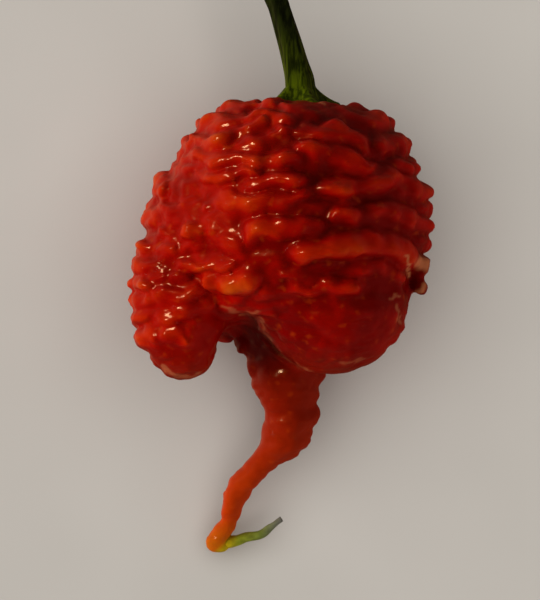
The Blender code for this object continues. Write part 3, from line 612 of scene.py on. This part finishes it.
skin_points = vectors(pod_mesh.vertices, "co")
skin_normals = vectors(pod_mesh.vertex_normals, "vector")
# The crest value paints shade into the creases and light onto the crests of the skin's colour
crest = ramp(*CREASE_SHADE_RANGE, form_distance(skin_points))
# Painted light on the left and painted shade on the right, then painted light on the end of the right lobe
crest += mixed(*LIT_SIDE_PAINT, ramp(*LIT_SIDE_SPAN, skin_points[:, 0]))
on_lit_lobe = ramp(*LIT_LOBE_X, skin_points[:, 0]) * ramp(*LIT_LOBE_Y, skin_points[:, 1])
crest += LIT_LOBE_PAINT * on_lit_lobe
calm = ramp(REST_CALM[1], REST_CALM[0], skin_points[:, 2])
left_rind = LEFT_RIND * ramp(*LEFT_SIDE, skin_points[:, 0])
tail_rind = TAIL_RIND * ramp(*TAIL_SIDE, skin_points[:, 1])
rind = 1.0 + left_rind + tail_rind
for grain, depth, seed in CRINKLES:
    stretched = (CRINKLE_STRETCH * grain, grain, CRINKLE_STRETCH * grain)
    crinkle = depth * (2.0 * np.abs(murmur(skin_points, stretched, seed)) - CRINKLE_SUNK)
    crinkle *= (1.0 - calm) * rind
    skin_points = skin_points + skin_normals * crinkle[:, None]
wavers = [murmur(skin_points, THIN_WAVER_GRAIN, seed) for seed in THIN_WAVER_SEEDS]
seen = skin_points[:, :2] + THIN_WAVER * np.stack(wavers, axis=1)
# Painted light: the glow through thin skin and pale highlights along edges, only on skin that faces up
thin = np.zeros(len(seen))
for half_width, paleness, line in PAINTED_GLOW_LINES:
    edge = ramp(*THIN_EDGE, line_reach(seen, line) / half_width)
    thin = np.maximum(thin, paleness * edge)
thin *= ramp(*THIN_FRONT, skin_points[:, 2]) * ramp(*THIN_FACING, skin_normals[:, 2])
skin_points[:, 2] = np.maximum(skin_points[:, 2], REST_SPOT[2])
move_points(pod_mesh, placed(skin_points))
pod_mesh.attributes.new("crest", "FLOAT", "POINT").data.foreach_set("value", crest)
pod_mesh.attributes.new("thin", "FLOAT", "POINT").data.foreach_set("value", thin)
pod_mesh.shade_smooth()
pod = linked("pod_flesh", pod_mesh)

# The pod's skin as a surface.
# Ripe chili skin is a thin clear cuticle, grown smooth over red flesh. It gives small wet-looking
# highlights. Its red is painted darker down in the creases as painted shade, and orange on the crests,
# partly its own hue and partly painted light; towards the tail it turns orange.
FLESH_REDS_WITH_PAINTED_SHADE = ((0.0, "#720000"), (0.35, "#a20600"), (0.68, "#ba2000"), (1.0, "#c44407"))
BLOTCH_SIZE = 5.0
BLOTCH_SHARE = 0.7

# The tail ripens last: its colours from root to heel, where along the pod they take over from
# the red, and the length that they run over
TAIL_ORANGES = (
    (0.0, "#881602"), (0.35, "#9c2203"), (0.6, "#b63204"), (0.8, "#bc3604"), (1.0, "#c8600a"))
TAIL_BEGINS = (-14.0, -22.0)
TAIL_LENGTH = (-24.0, -43.5)

# The corner of the heel that the style grows from is still yellow, over these distances
HEEL_YELLOW = "#bc9c0c"
HEEL_CORNER = (-9.6, -42.9)
HEEL_FADE = (0.6, 2.0)
HEEL_BELOW = (-41.6, -42.4)

# Orange flecks, the peach of the painted light glow on thin edges, and the grain of the bumps and of the
# gloss. The real cuticle's bumps are finer than the picture can show, so they are drawn this coarse
FLECK_ORANGE = "#d04a06"
FLECK_SIZE = 1.3
FLECK_RANGE = (0.58, 0.85)
FLECK_SHARE = 0.25
GLOW_PEACH = "#d07c4c"
PORE_SIZE = 0.5
RIPPLE_SIZE = 1.6
SKIN_ROUGHNESS = (0.34, 0.52)


def linear(hex_colour):
    """An sRGB hex colour as linear red, green, blue and alpha."""
    parts = [int(hex_colour[i:i + 2], 16) / 255.0 for i in (1, 3, 5)]
    return (*[c / 12.92 if c <= 0.04045 else ((c + 0.055) / 1.055) ** 2.4 for c in parts], 1.0)


def add(tree, kind, settings=None, links=None):
    """A node with its settings, and its inputs either linked or set."""
    made = tree.nodes.new(kind)
    for name, value in (settings or {}).items():
        if name == "stops":
            elements = made.color_ramp.elements
            while len(elements) < len(value):
                elements.new(1.0)
            for stop, (position, colour) in zip(elements, value):
                stop.position = position
                stop.color = linear(colour)
        else:
            setattr(made, name, value)
    for socket, source in (links or {}).items():
        if isinstance(source, bpy.types.NodeSocket):
            tree.links.new(source, made.inputs[socket])
        else:
            made.inputs[socket].default_value = source
    return made


def per_mm(size):
    """Noise scale for a grain of this size in millimetres."""
    return 1.0 / (size * MM)


def grown_material(name):
    """A new material, its emptied node tree, its place on the piece and that place's parts."""
    material = bpy.data.materials.new(name)
    material.use_nodes = True
    nodes = material.node_tree
    nodes.nodes.clear()
    spot = add(nodes, "ShaderNodeTexCoord").outputs["Object"]
    parts = add(nodes, "ShaderNodeSeparateXYZ", {}, {"Vector": spot}).outputs
    return material, nodes, spot, parts


skin, tree, place, along = grown_material("waxy_red_pepper_skin")
# Painted shade in the creases, and painted light on the crests, the lit left side and the lit end of the
# right lobe
painted_shade_and_light = add(tree, "ShaderNodeAttribute", {"attribute_name": "crest"}).outputs["Fac"]
blotches = add(tree, "ShaderNodeTexNoise", {}, {
    "Vector": place, "Scale": per_mm(BLOTCH_SIZE), "Detail": 3.0, "Roughness": 0.6}).outputs["Fac"]
lifted = add(tree, "ShaderNodeMath", {"operation": "MULTIPLY_ADD"}, {
    0: blotches, 1: BLOTCH_SHARE, 2: -0.5 * BLOTCH_SHARE}).outputs[0]
shade = add(tree, "ShaderNodeMath", {"operation": "ADD"}, {0: painted_shade_and_light, 1: lifted}).outputs[0]
red = add(tree, "ShaderNodeValToRGB", {"stops": FLESH_REDS_WITH_PAINTED_SHADE}, {"Fac": shade}).outputs["Color"]
towards_tip = add(tree, "ShaderNodeMapRange", {"interpolation_type": "SMOOTHSTEP"}, {
    "Value": along["Y"],
    "From Min": TAIL_BEGINS[0] * MM, "From Max": TAIL_BEGINS[1] * MM}).outputs["Result"]
down_tail = add(tree, "ShaderNodeMapRange", {}, {
    "Value": along["Y"],
    "From Min": TAIL_LENGTH[0] * MM, "From Max": TAIL_LENGTH[1] * MM}).outputs["Result"]
orange = add(tree, "ShaderNodeValToRGB", {"stops": TAIL_ORANGES}, {"Fac": down_tail}).outputs["Color"]
ripe = add(tree, "ShaderNodeMix", {"data_type": "RGBA"}, {
    "Factor": towards_tip, 6: red, 7: orange}).outputs[2]
past_heel = add(tree, "ShaderNodeMath", {"operation": "SUBTRACT"}, {
    0: along["X"], 1: HEEL_CORNER[0] * MM}).outputs[0]
over_heel = add(tree, "ShaderNodeMath", {"operation": "SUBTRACT"}, {
    0: along["Y"], 1: HEEL_CORNER[1] * MM}).outputs[0]
unripe = add(tree, "ShaderNodeMath", {"operation": "SUBTRACT"}, {0: past_heel, 1: over_heel}).outputs[0]
yellowing = add(tree, "ShaderNodeMapRange", {"interpolation_type": "SMOOTHSTEP"}, {
    "Value": unripe, "From Min": HEEL_FADE[0] * MM, "From Max": HEEL_FADE[1] * MM}).outputs["Result"]
by_style = add(tree, "ShaderNodeMapRange", {}, {
    "Value": along["Y"],
    "From Min": HEEL_BELOW[0] * MM, "From Max": HEEL_BELOW[1] * MM}).outputs["Result"]
yellow_part = add(tree, "ShaderNodeMath", {"operation": "MULTIPLY"}, {
    0: yellowing, 1: by_style}).outputs[0]
turned = add(tree, "ShaderNodeMix", {"data_type": "RGBA"}, {
    "Factor": yellow_part, 6: ripe, 7: linear(HEEL_YELLOW)}).outputs[2]
flecks = add(tree, "ShaderNodeTexNoise", {}, {
    "Vector": place, "Scale": per_mm(FLECK_SIZE), "Detail": 1.0}).outputs["Fac"]
fleck_part = add(tree, "ShaderNodeMapRange", {"interpolation_type": "SMOOTHSTEP"}, {
    "Value": flecks, "From Min": FLECK_RANGE[0], "From Max": FLECK_RANGE[1],
    "To Max": FLECK_SHARE}).outputs["Result"]
flecked = add(tree, "ShaderNodeMix", {"data_type": "RGBA"}, {
    "Factor": fleck_part, 6: turned, 7: linear(FLECK_ORANGE)}).outputs[2]
# Painted light of thin edges and beads, mixed over the skin's colour
painted_glow_of = add(tree, "ShaderNodeAttribute", {"attribute_name": "thin"}).outputs["Fac"]
colour = add(tree, "ShaderNodeMix", {"data_type": "RGBA"}, {
    "Factor": painted_glow_of, 6: flecked, 7: linear(GLOW_PEACH)}).outputs[2]
pores = add(tree, "ShaderNodeTexNoise", {}, {
    "Vector": place, "Scale": per_mm(PORE_SIZE), "Detail": 2.0}).outputs["Fac"]
ripples = add(tree, "ShaderNodeTexNoise", {}, {
    "Vector": place, "Scale": per_mm(RIPPLE_SIZE), "Detail": 2.0}).outputs["Fac"]
gloss = add(tree, "ShaderNodeMapRange", {}, {
    "Value": ripples, "To Min": SKIN_ROUGHNESS[0], "To Max": SKIN_ROUGHNESS[1]}).outputs["Result"]
soft_bump = add(tree, "ShaderNodeBump", {}, {
    "Strength": 0.5, "Distance": 0.12 * MM, "Height": ripples}).outputs["Normal"]
fine_bump = add(tree, "ShaderNodeBump", {}, {
    "Strength": 0.25, "Distance": 0.03 * MM, "Height": pores, "Normal": soft_bump}).outputs["Normal"]
surface = add(tree, "ShaderNodeBsdfPrincipled", {"subsurface_method": "RANDOM_WALK"}, {
    "Base Color": colour, "Roughness": gloss, "IOR": 1.45, "Specular IOR Level": 0.16,
    "Specular Tint": linear("#ff8048"), "Normal": fine_bump,
    "Subsurface Weight": 0.06, "Subsurface Radius": (1.0, 0.2, 0.08), "Subsurface Scale": 1.2 * MM,
    "Coat Weight": 0.3, "Coat Roughness": 0.12, "Coat IOR": 1.4})
add(tree, "ShaderNodeOutputMaterial", {}, {"Surface": surface.outputs["BSDF"]})
pod_mesh.materials.clear()
pod_mesh.materials.append(skin)
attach(pod, "root")
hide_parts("pod")

# The stem and calyx.
# A fresh green pepper stalk, lightly ridged lengthwise, that flares into a five-toothed
# calyx. It grew onto the crown of the pod, and its far end is cut off with a narrow bevel.

# Stem from the seat to the cut end: x, y, z and radius
STEM = (
    (2.4, 19.8, 18.2, 2.15),
    (2.3, 21.8, 18.2, 2.05),
    (2.1, 23.0, 18.1, 1.92),
    (1.7, 24.6, 18.0, 1.75),
    (1.1, 27.0, 17.7, 1.65),
    (0.3, 29.8, 17.3, 1.55),
    (-0.3, 31.9, 16.9, 1.5),
    (-0.8, 33.3, 16.6, 1.5),
    (-2.6, 37.2, 15.7, 1.6),
    (-4.8, 41.4, 14.8, 1.85),
)
STEM_RIDGES = 5
STEM_RIDGE_HEIGHT = 0.12
STEM_TWIST = 0.05
STEM_BEVEL = 0.15
CUT_SHARE = 0.84

# The calyx: a collar of this radius with pointed teeth, this thick towards its rim, whose
# back curves up into the stem
CALYX_RADIUS = 3.5
CALYX_TEETH = 5
CALYX_TOOTH = 2.2
CALYX_RIM = 0.45
CALYX_RIM_EDGE = 0.6
CALYX_POINTEDNESS = 2.5
CALYX_TURN = 0.5
CALYX_FOOT = 1.6

# Where along the pod the calyx's seat is looked for, in how many halvings, and the gap
# that it keeps from the pod's form, so that it touches the skin lightly
SEAT_SEARCH = (12.0, 21.0)
SEAT_HALVINGS = 30
SEAT_GAP = 0.3

# Points round the stem, steps between its values, the step at which the stem begins to flare
# into the calyx, and rings on the calyx
STEM_SIDES = 72
STEM_STEPS = 10
STEM_FOOT = 7
CALYX_RINGS = 14

# Fibres: their width, how much they are drawn out lengthwise, where dark turns to light, and
# the length over which the green darkens away from the pod
STREAK_SIZE = 0.5
STREAK_STRETCH = 0.08
STREAK_RANGE = (0.38, 0.64)
STEM_FADE = (18.0, 30.0)
DARK_GREENS = ((0.0, "#343f03"), (0.4, "#1c2202"), (1.0, "#101304"))
LIGHT_GREENS = ((0.0, "#627004"), (0.4, "#465006"), (1.0, "#23280a"))


def ring(centre, along, radii):
    """Points round a centre, square to the given direction, starting on the +X side."""
    across = np.cross(along, (0.0, 0.0, 1.0))
    across = across / np.linalg.norm(across)
    up = np.cross(across, along / np.linalg.norm(along))
    angles = 2.0 * math.pi * np.arange(len(radii)) / len(radii)
    spokes = np.cos(angles)[:, None] * across + np.sin(angles)[:, None] * up
    return centre + spokes * radii[:, None]


def lofted(name, first, rings, last):
    """A closed mesh through rings of equal count, with a point at each end."""
    shape = bmesh.new()
    start = shape.verts.new(first)
    loops = [[shape.verts.new(point) for point in row] for row in rings]
    end = shape.verts.new(last)
    count = len(loops[0])
    for i in range(count):
        j = (i + 1) % count
        shape.faces.new((start, loops[0][i], loops[0][j]))
        for near, far in zip(loops[:-1], loops[1:]):
            shape.faces.new((near[i], far[i], far[j], near[j]))
        shape.faces.new((loops[-1][j], loops[-1][i], end))
    bmesh.ops.recalc_face_normals(shape, faces=shape.faces)
    mesh = bpy.data.meshes.new(name)
    shape.to_mesh(mesh)
    shape.free()
    return mesh


def seat_height(x, z):
    """Where the skin's form lies under the calyx, plus the gap, along the stem's axis."""
    low = np.full(len(x), SEAT_SEARCH[0])
    high = np.full(len(x), SEAT_SEARCH[1])
    for _ in range(SEAT_HALVINGS):
        middle = 0.5 * (low + high)
        outside = form_distance(np.stack((x, middle, z), axis=1)) > SEAT_GAP
        high = np.where(outside, middle, high)
        low = np.where(outside, low, middle)
    return high


def calyx_rim(angles):
    """Reach of the calyx from its axis: a round collar with small pointed teeth."""
    tooth = (0.5 + 0.5 * np.cos(CALYX_TEETH * angles + CALYX_TURN)) ** CALYX_POINTEDNESS
    return CALYX_RADIUS + CALYX_TOOTH * tooth


def stem_rings(angles):
    """Ridged rings from the cut end down to where the calyx begins to flare."""
    path = eased(STEM, STEM_STEPS)
    last = len(path) - 1
    rings = []
    for i in range(last, STEM_FOOT - 1, -1):
        along = path[min(i + 1, last), :3] - path[i - 1, :3]
        radii = path[i, 3] + STEM_RIDGE_HEIGHT * np.cos(STEM_RIDGES * angles + STEM_TWIST * i)
        if i == last:
            rings.append(ring(path[i, :3] + STEM_BEVEL * along, along, CUT_SHARE * radii))
        rings.append(ring(path[i, :3], along, radii))
    cut = path[last, :3] + STEM_BEVEL * (path[last, :3] - path[last - 1, :3])
    return cut, rings


def seat_ring(reach, angles):
    """A ring of the given reach round the calyx's axis, lying on its seat."""
    x = CALYX_AXIS[0] + reach * np.cos(angles)
    z = CALYX_AXIS[1] + reach * np.sin(angles)
    return np.stack((x, seat_height(x, z), z), axis=1)


angles = 2.0 * math.pi * np.arange(STEM_SIDES) / STEM_SIDES
cut, rings = stem_rings(angles)
foot = rings[-1]
foot_reach = np.hypot(foot[:, 0] - CALYX_AXIS[0], foot[:, 2] - CALYX_AXIS[1])
foot_lift = (foot[:, 1] - seat_ring(foot_reach, angles)[:, 1]).mean()
rim = calyx_rim(angles)
under = []
for share in np.linspace(0.0, 1.0, CALYX_RINGS + 2)[1:-1]:
    seat = seat_ring(mixed(foot_reach, rim, share), angles)
    lift = mixed(CALYX_RIM, foot_lift, (1.0 - share) ** CALYX_FOOT)
    rings.append(seat + np.array((0.0, lift, 0.0)))
    under.append(seat)
rings.append(seat_ring(rim, angles) + np.array((0.0, CALYX_RIM_EDGE * CALYX_RIM, 0.0)))
rings.extend(reversed(under))
middle = seat_ring(np.zeros(1), np.zeros(1))[0]
stem_mesh = lofted("green_stem", placed(cut), [placed(row) for row in rings], placed(middle))
stem_mesh.shade_smooth()
stem = linked("green_stem", stem_mesh)

# A fresh stalk is satin: its fibres show as fine lengthwise streaks, lighter near the calyx
stalk, tree, place, along = grown_material("fresh_green_stalk")
fibres = add(tree, "ShaderNodeMapping", {}, {
    "Vector": place, "Scale": (1.0, STREAK_STRETCH, 1.0)}).outputs["Vector"]
streaks = add(tree, "ShaderNodeTexNoise", {}, {
    "Vector": fibres, "Scale": per_mm(STREAK_SIZE), "Detail": 3.0, "Roughness": 0.6}).outputs["Fac"]
upwards = add(tree, "ShaderNodeMapRange", {}, {
    "Value": along["Y"], "From Min": STEM_FADE[0] * MM, "From Max": STEM_FADE[1] * MM}).outputs["Result"]
dark_green = add(tree, "ShaderNodeValToRGB", {"stops": DARK_GREENS}, {"Fac": upwards}).outputs["Color"]
light_green = add(tree, "ShaderNodeValToRGB", {"stops": LIGHT_GREENS}, {"Fac": upwards}).outputs["Color"]
streak_part = add(tree, "ShaderNodeMapRange", {"interpolation_type": "SMOOTHSTEP"}, {
    "Value": streaks, "From Min": STREAK_RANGE[0], "From Max": STREAK_RANGE[1]}).outputs["Result"]
colour = add(tree, "ShaderNodeMix", {"data_type": "RGBA"}, {
    "Factor": streak_part, 6: dark_green, 7: light_green}).outputs[2]
bump = add(tree, "ShaderNodeBump", {}, {
    "Strength": 0.5, "Distance": 0.1 * MM, "Height": streaks}).outputs["Normal"]
surface = add(tree, "ShaderNodeBsdfPrincipled", {}, {
    "Base Color": colour, "Roughness": 0.55, "IOR": 1.45, "Specular IOR Level": 0.05, "Normal": bump,
    "Subsurface Weight": 0.08, "Subsurface Radius": (0.4, 0.8, 0.15), "Subsurface Scale": 0.8 * MM})
add(tree, "ShaderNodeOutputMaterial", {}, {"Surface": surface.outputs["BSDF"]})
stem_mesh.materials.append(stalk)
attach(stem, "root")
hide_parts("stem_and_calyx")

# The dried style.
# What is left of the flower at the tip of the tail: a withered plant thread that grew out of
# the heel, still yellow-green where it joins it and grey at its end.

# From its root inside the heel to its withered tip: x, y, z and radius
STYLE = (
    (-8.4, -43.35, 5.05, 0.8),
    (-7.5, -43.3, 5.1, 0.88),
    (-6.6, -43.1, 5.1, 0.82),
    (-5.6, -42.7, 5.1, 0.72),
    (-4.6, -42.55, 5.2, 0.66),
    (-3.5, -42.3, 5.3, 0.66),
    (-2.5, -41.85, 5.4, 0.6),
    (-1.7, -41.15, 5.6, 0.5),
    (-1.0, -40.55, 5.8, 0.42),
    (-0.15, -40.0, 5.9, 0.38),
)
STYLE_SIDES = 16
STYLE_STEPS = 6

# Shrivelled ribs that wind round the thread, how fast they turn, and its slow swelling
STYLE_RIBS = 3.0
STYLE_RIB_HEIGHT = 0.05
STYLE_TWIST = 0.4
STYLE_SWELL = 0.03
STYLE_SWELL_RATE = 0.37

# Its colours from root to tip, and the grain of its blotches
STYLE_FADE = (-8.3, -0.4)
STYLE_COLOURS = (
    (0.0, "#c4a60a"), (0.2, "#909420"), (0.6, "#6f7830"), (0.85, "#74745a"), (1.0, "#6c6860"))
STYLE_GRAIN = 0.7

path = eased(STYLE, STYLE_STEPS)
angles = 2.0 * math.pi * np.arange(STYLE_SIDES) / STYLE_SIDES
rings = []
for i, (x, y, z, radius) in enumerate(path):
    before = path[max(i - 1, 0), :3]
    after = path[min(i + 1, len(path) - 1), :3]
    ribs = STYLE_RIB_HEIGHT * np.cos(STYLE_RIBS * angles + STYLE_TWIST * i)
    swell = STYLE_SWELL * math.sin(STYLE_SWELL_RATE * i)
    rings.append(ring(np.array((x, y, z)), after - before, radius + (ribs + swell)))
start = path[0, :3]
end = path[-1, :3] + 0.5 * (path[-1, :3] - path[-2, :3])
style_mesh = lofted("withered_style", placed(start), [placed(row) for row in rings], placed(end))
style_mesh.shade_smooth()
style = linked("withered_style", style_mesh)

# Dried plant fibre is matt and blotchy, and lost its green from the tip inwards
thread, tree, place, along = grown_material("dried_plant_thread")
outwards = add(tree, "ShaderNodeMapRange", {}, {
    "Value": along["X"], "From Min": STYLE_FADE[0] * MM, "From Max": STYLE_FADE[1] * MM}).outputs["Result"]
grain = add(tree, "ShaderNodeTexNoise", {}, {
    "Vector": place, "Scale": per_mm(STYLE_GRAIN), "Detail": 4.0}).outputs["Fac"]
colours = add(tree, "ShaderNodeValToRGB", {"stops": STYLE_COLOURS}, {"Fac": outwards}).outputs["Color"]
colour = add(tree, "ShaderNodeMix", {"data_type": "RGBA", "blend_type": "OVERLAY"}, {
    "Factor": 0.5, 6: colours, 7: grain}).outputs[2]
bump = add(tree, "ShaderNodeBump", {}, {
    "Strength": 0.6, "Distance": 0.1 * MM, "Height": grain}).outputs["Normal"]
surface = add(tree, "ShaderNodeBsdfPrincipled", {}, {
    "Base Color": colour, "Roughness": 0.6, "IOR": 1.45, "Specular IOR Level": 0.25, "Normal": bump})
add(tree, "ShaderNodeOutputMaterial", {}, {"Surface": surface.outputs["BSDF"]})
style_mesh.materials.append(thread)
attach(style, "root")
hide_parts("style_remnant")

# The table, light and camera.
# A pale warm board in matt paint under the pepper, so even that it shows no more than a soft
# shadow, and the camera looking straight down on the side that the photograph shows.
BOARD_SIZE = 3.0
CLOUD_SIZE = 40.0
BOARD_GREYS = ((0.3, "#c3bdb4"), (0.7, "#cac4bb"))
board_mesh = bpy.data.meshes.new("pale_board")
half = BOARD_SIZE / 2.0
board_mesh.from_pydata(
    [(-half, -half, 0.0), (half, -half, 0.0), (half, half, 0.0), (-half, half, 0.0)], [], [(0, 1, 2, 3)])
board = linked("pale_board", board_mesh)

# Rolled matt paint: no highlight, and faint clouds a few centimetres wide
paint = bpy.data.materials.new("warm_grey_matt_paint")
paint.use_nodes = True
tree = paint.node_tree
tree.nodes.clear()
place = add(tree, "ShaderNodeTexCoord").outputs["Object"]
clouds = add(tree, "ShaderNodeTexNoise", {}, {
    "Vector": place, "Scale": per_mm(CLOUD_SIZE), "Detail": 2.0}).outputs["Fac"]
colour = add(tree, "ShaderNodeValToRGB", {"stops": BOARD_GREYS}, {"Fac": clouds}).outputs["Color"]
surface = add(tree, "ShaderNodeBsdfPrincipled", {}, {"Base Color": colour, "Roughness": 0.8})
add(tree, "ShaderNodeOutputMaterial", {}, {"Surface": surface.outputs["BSDF"]})
board_mesh.materials.append(paint)
board.visible_glossy = False

# The room lights everything a little from all round, and is dim and warm where it is mirrored
ROOM_WHITE = "#e6e3df"
ROOM_LIGHT = 0.17
GLOSS_WARM = "#ff8a60"
ROOM_GLOSS = 0.1

# A pale wall low on the left, only mirrored in the skin, gives its left rim the faint sheen of
# the photograph. It fades in to the left, downwards, and away from the side of the tail
WALL_PALE = "#ffc8a0"
WALL_GLOSS = 0.46
WALL_LEFT = (-0.05, -0.4)
WALL_TOP = (0.4, -0.2)
WALL_END = (-0.45, -0.1)
world = bpy.data.worlds.new("studio")
world.use_nodes = True
tree = world.node_tree
tree.nodes.clear()
mirrored = add(tree, "ShaderNodeLightPath").outputs["Is Glossy Ray"]
spot = add(tree, "ShaderNodeTexCoord").outputs["Generated"]
aim = add(tree, "ShaderNodeSeparateXYZ", {}, {"Vector": spot}).outputs
leftwards = add(tree, "ShaderNodeMapRange", {"interpolation_type": "SMOOTHSTEP"}, {
    "Value": aim["X"], "From Min": WALL_LEFT[0], "From Max": WALL_LEFT[1]}).outputs["Result"]
lowered = add(tree, "ShaderNodeMapRange", {"interpolation_type": "SMOOTHSTEP"}, {
    "Value": aim["Z"], "From Min": WALL_TOP[0], "From Max": WALL_TOP[1]}).outputs["Result"]
behind = add(tree, "ShaderNodeMapRange", {"interpolation_type": "SMOOTHSTEP"}, {
    "Value": aim["Y"], "From Min": WALL_END[0], "From Max": WALL_END[1]}).outputs["Result"]
low_left = add(tree, "ShaderNodeMath", {"operation": "MULTIPLY"}, {0: leftwards, 1: lowered}).outputs[0]
wall = add(tree, "ShaderNodeMath", {"operation": "MULTIPLY"}, {0: low_left, 1: behind}).outputs[0]
sheen = add(tree, "ShaderNodeMapRange", {}, {
    "Value": wall, "To Min": ROOM_GLOSS, "To Max": WALL_GLOSS}).outputs["Result"]
sheen_tint = add(tree, "ShaderNodeMix", {"data_type": "RGBA"}, {
    "Factor": wall, 6: linear(GLOSS_WARM), 7: linear(WALL_PALE)}).outputs[2]
strength = add(tree, "ShaderNodeMapRange", {}, {
    "Value": mirrored, "To Min": ROOM_LIGHT, "To Max": sheen}).outputs["Result"]
tint = add(tree, "ShaderNodeMix", {"data_type": "RGBA"}, {
    "Factor": mirrored, 6: linear(ROOM_WHITE), 7: sheen_tint}).outputs[2]
room = add(tree, "ShaderNodeBackground", {}, {"Color": tint, "Strength": strength})
add(tree, "ShaderNodeOutputWorld", {}, {"Surface": room.outputs["Background"]})
bpy.context.scene.world = world
bpy.context.scene.view_settings.view_transform = "Standard"

# Lamps: direction, width in degrees, power, colour, whether they show in the highlights and
# whether they light the surface, and what they shine on. The key from the left and the low
# fill light the pepper, the glint gives the pod its highlights, and the board has its own
LAMPS = (
    ("soft_key", (-0.9, 0.04, 0.4), 32.0, 3.0, "#ffffff", False, True, "pepper"),
    ("window_glint", (-0.62, 0.5, 0.76), 14.0, 4.0, "#ffd8a4", True, False, "pod"),
    ("low_fill", (0.84, -0.56, 0.3), 50.0, 1.2, "#ffffff", False, True, "pepper"),
    ("board_light", (-0.15, 0.05, 1.0), 90.0, 2.42, "#ffffff", False, True, "board"),
)
lit = {}
for name, members in (("pepper", (pod, stem, style)), ("pod", (pod,)), ("board", (board,))):
    lit[name] = bpy.data.collections.new("lit_" + name)
    for member in members:
        lit[name].objects.link(member)
for name, towards, width, power, colour, glints, lights, receiver in LAMPS:
    lamp = bpy.data.lights.new(name, "SUN")
    lamp.angle = math.radians(width)
    lamp.energy = power
    lamp.color = linear(colour)[:3]
    holder = linked(name, lamp)
    holder.rotation_euler = Vector(towards).to_track_quat("Z", "Y").to_euler()
    holder.visible_glossy = glints
    holder.visible_diffuse = lights
    holder.light_linking.receiver_collection = lit[receiver]

# The camera stands this many metres over the middle of the picture, which measures this much
# from its lower to its upper edge there
CAMERA_REACH = 0.6
SENSOR_WIDTH = 36.0
FRAME_HEIGHT = 84.0 * MM
FRAME_MIDDLE = (-2.22 * MM, -8.48 * MM, 17.0 * MM)
camera_data = bpy.data.cameras.new("camera")
camera_data.sensor_width = SENSOR_WIDTH
camera_data.lens = SENSOR_WIDTH * CAMERA_REACH / FRAME_HEIGHT
camera = linked("camera", camera_data)
camera.location = (FRAME_MIDDLE[0], FRAME_MIDDLE[1], FRAME_MIDDLE[2] + CAMERA_REACH)
bpy.context.scene.camera = camera
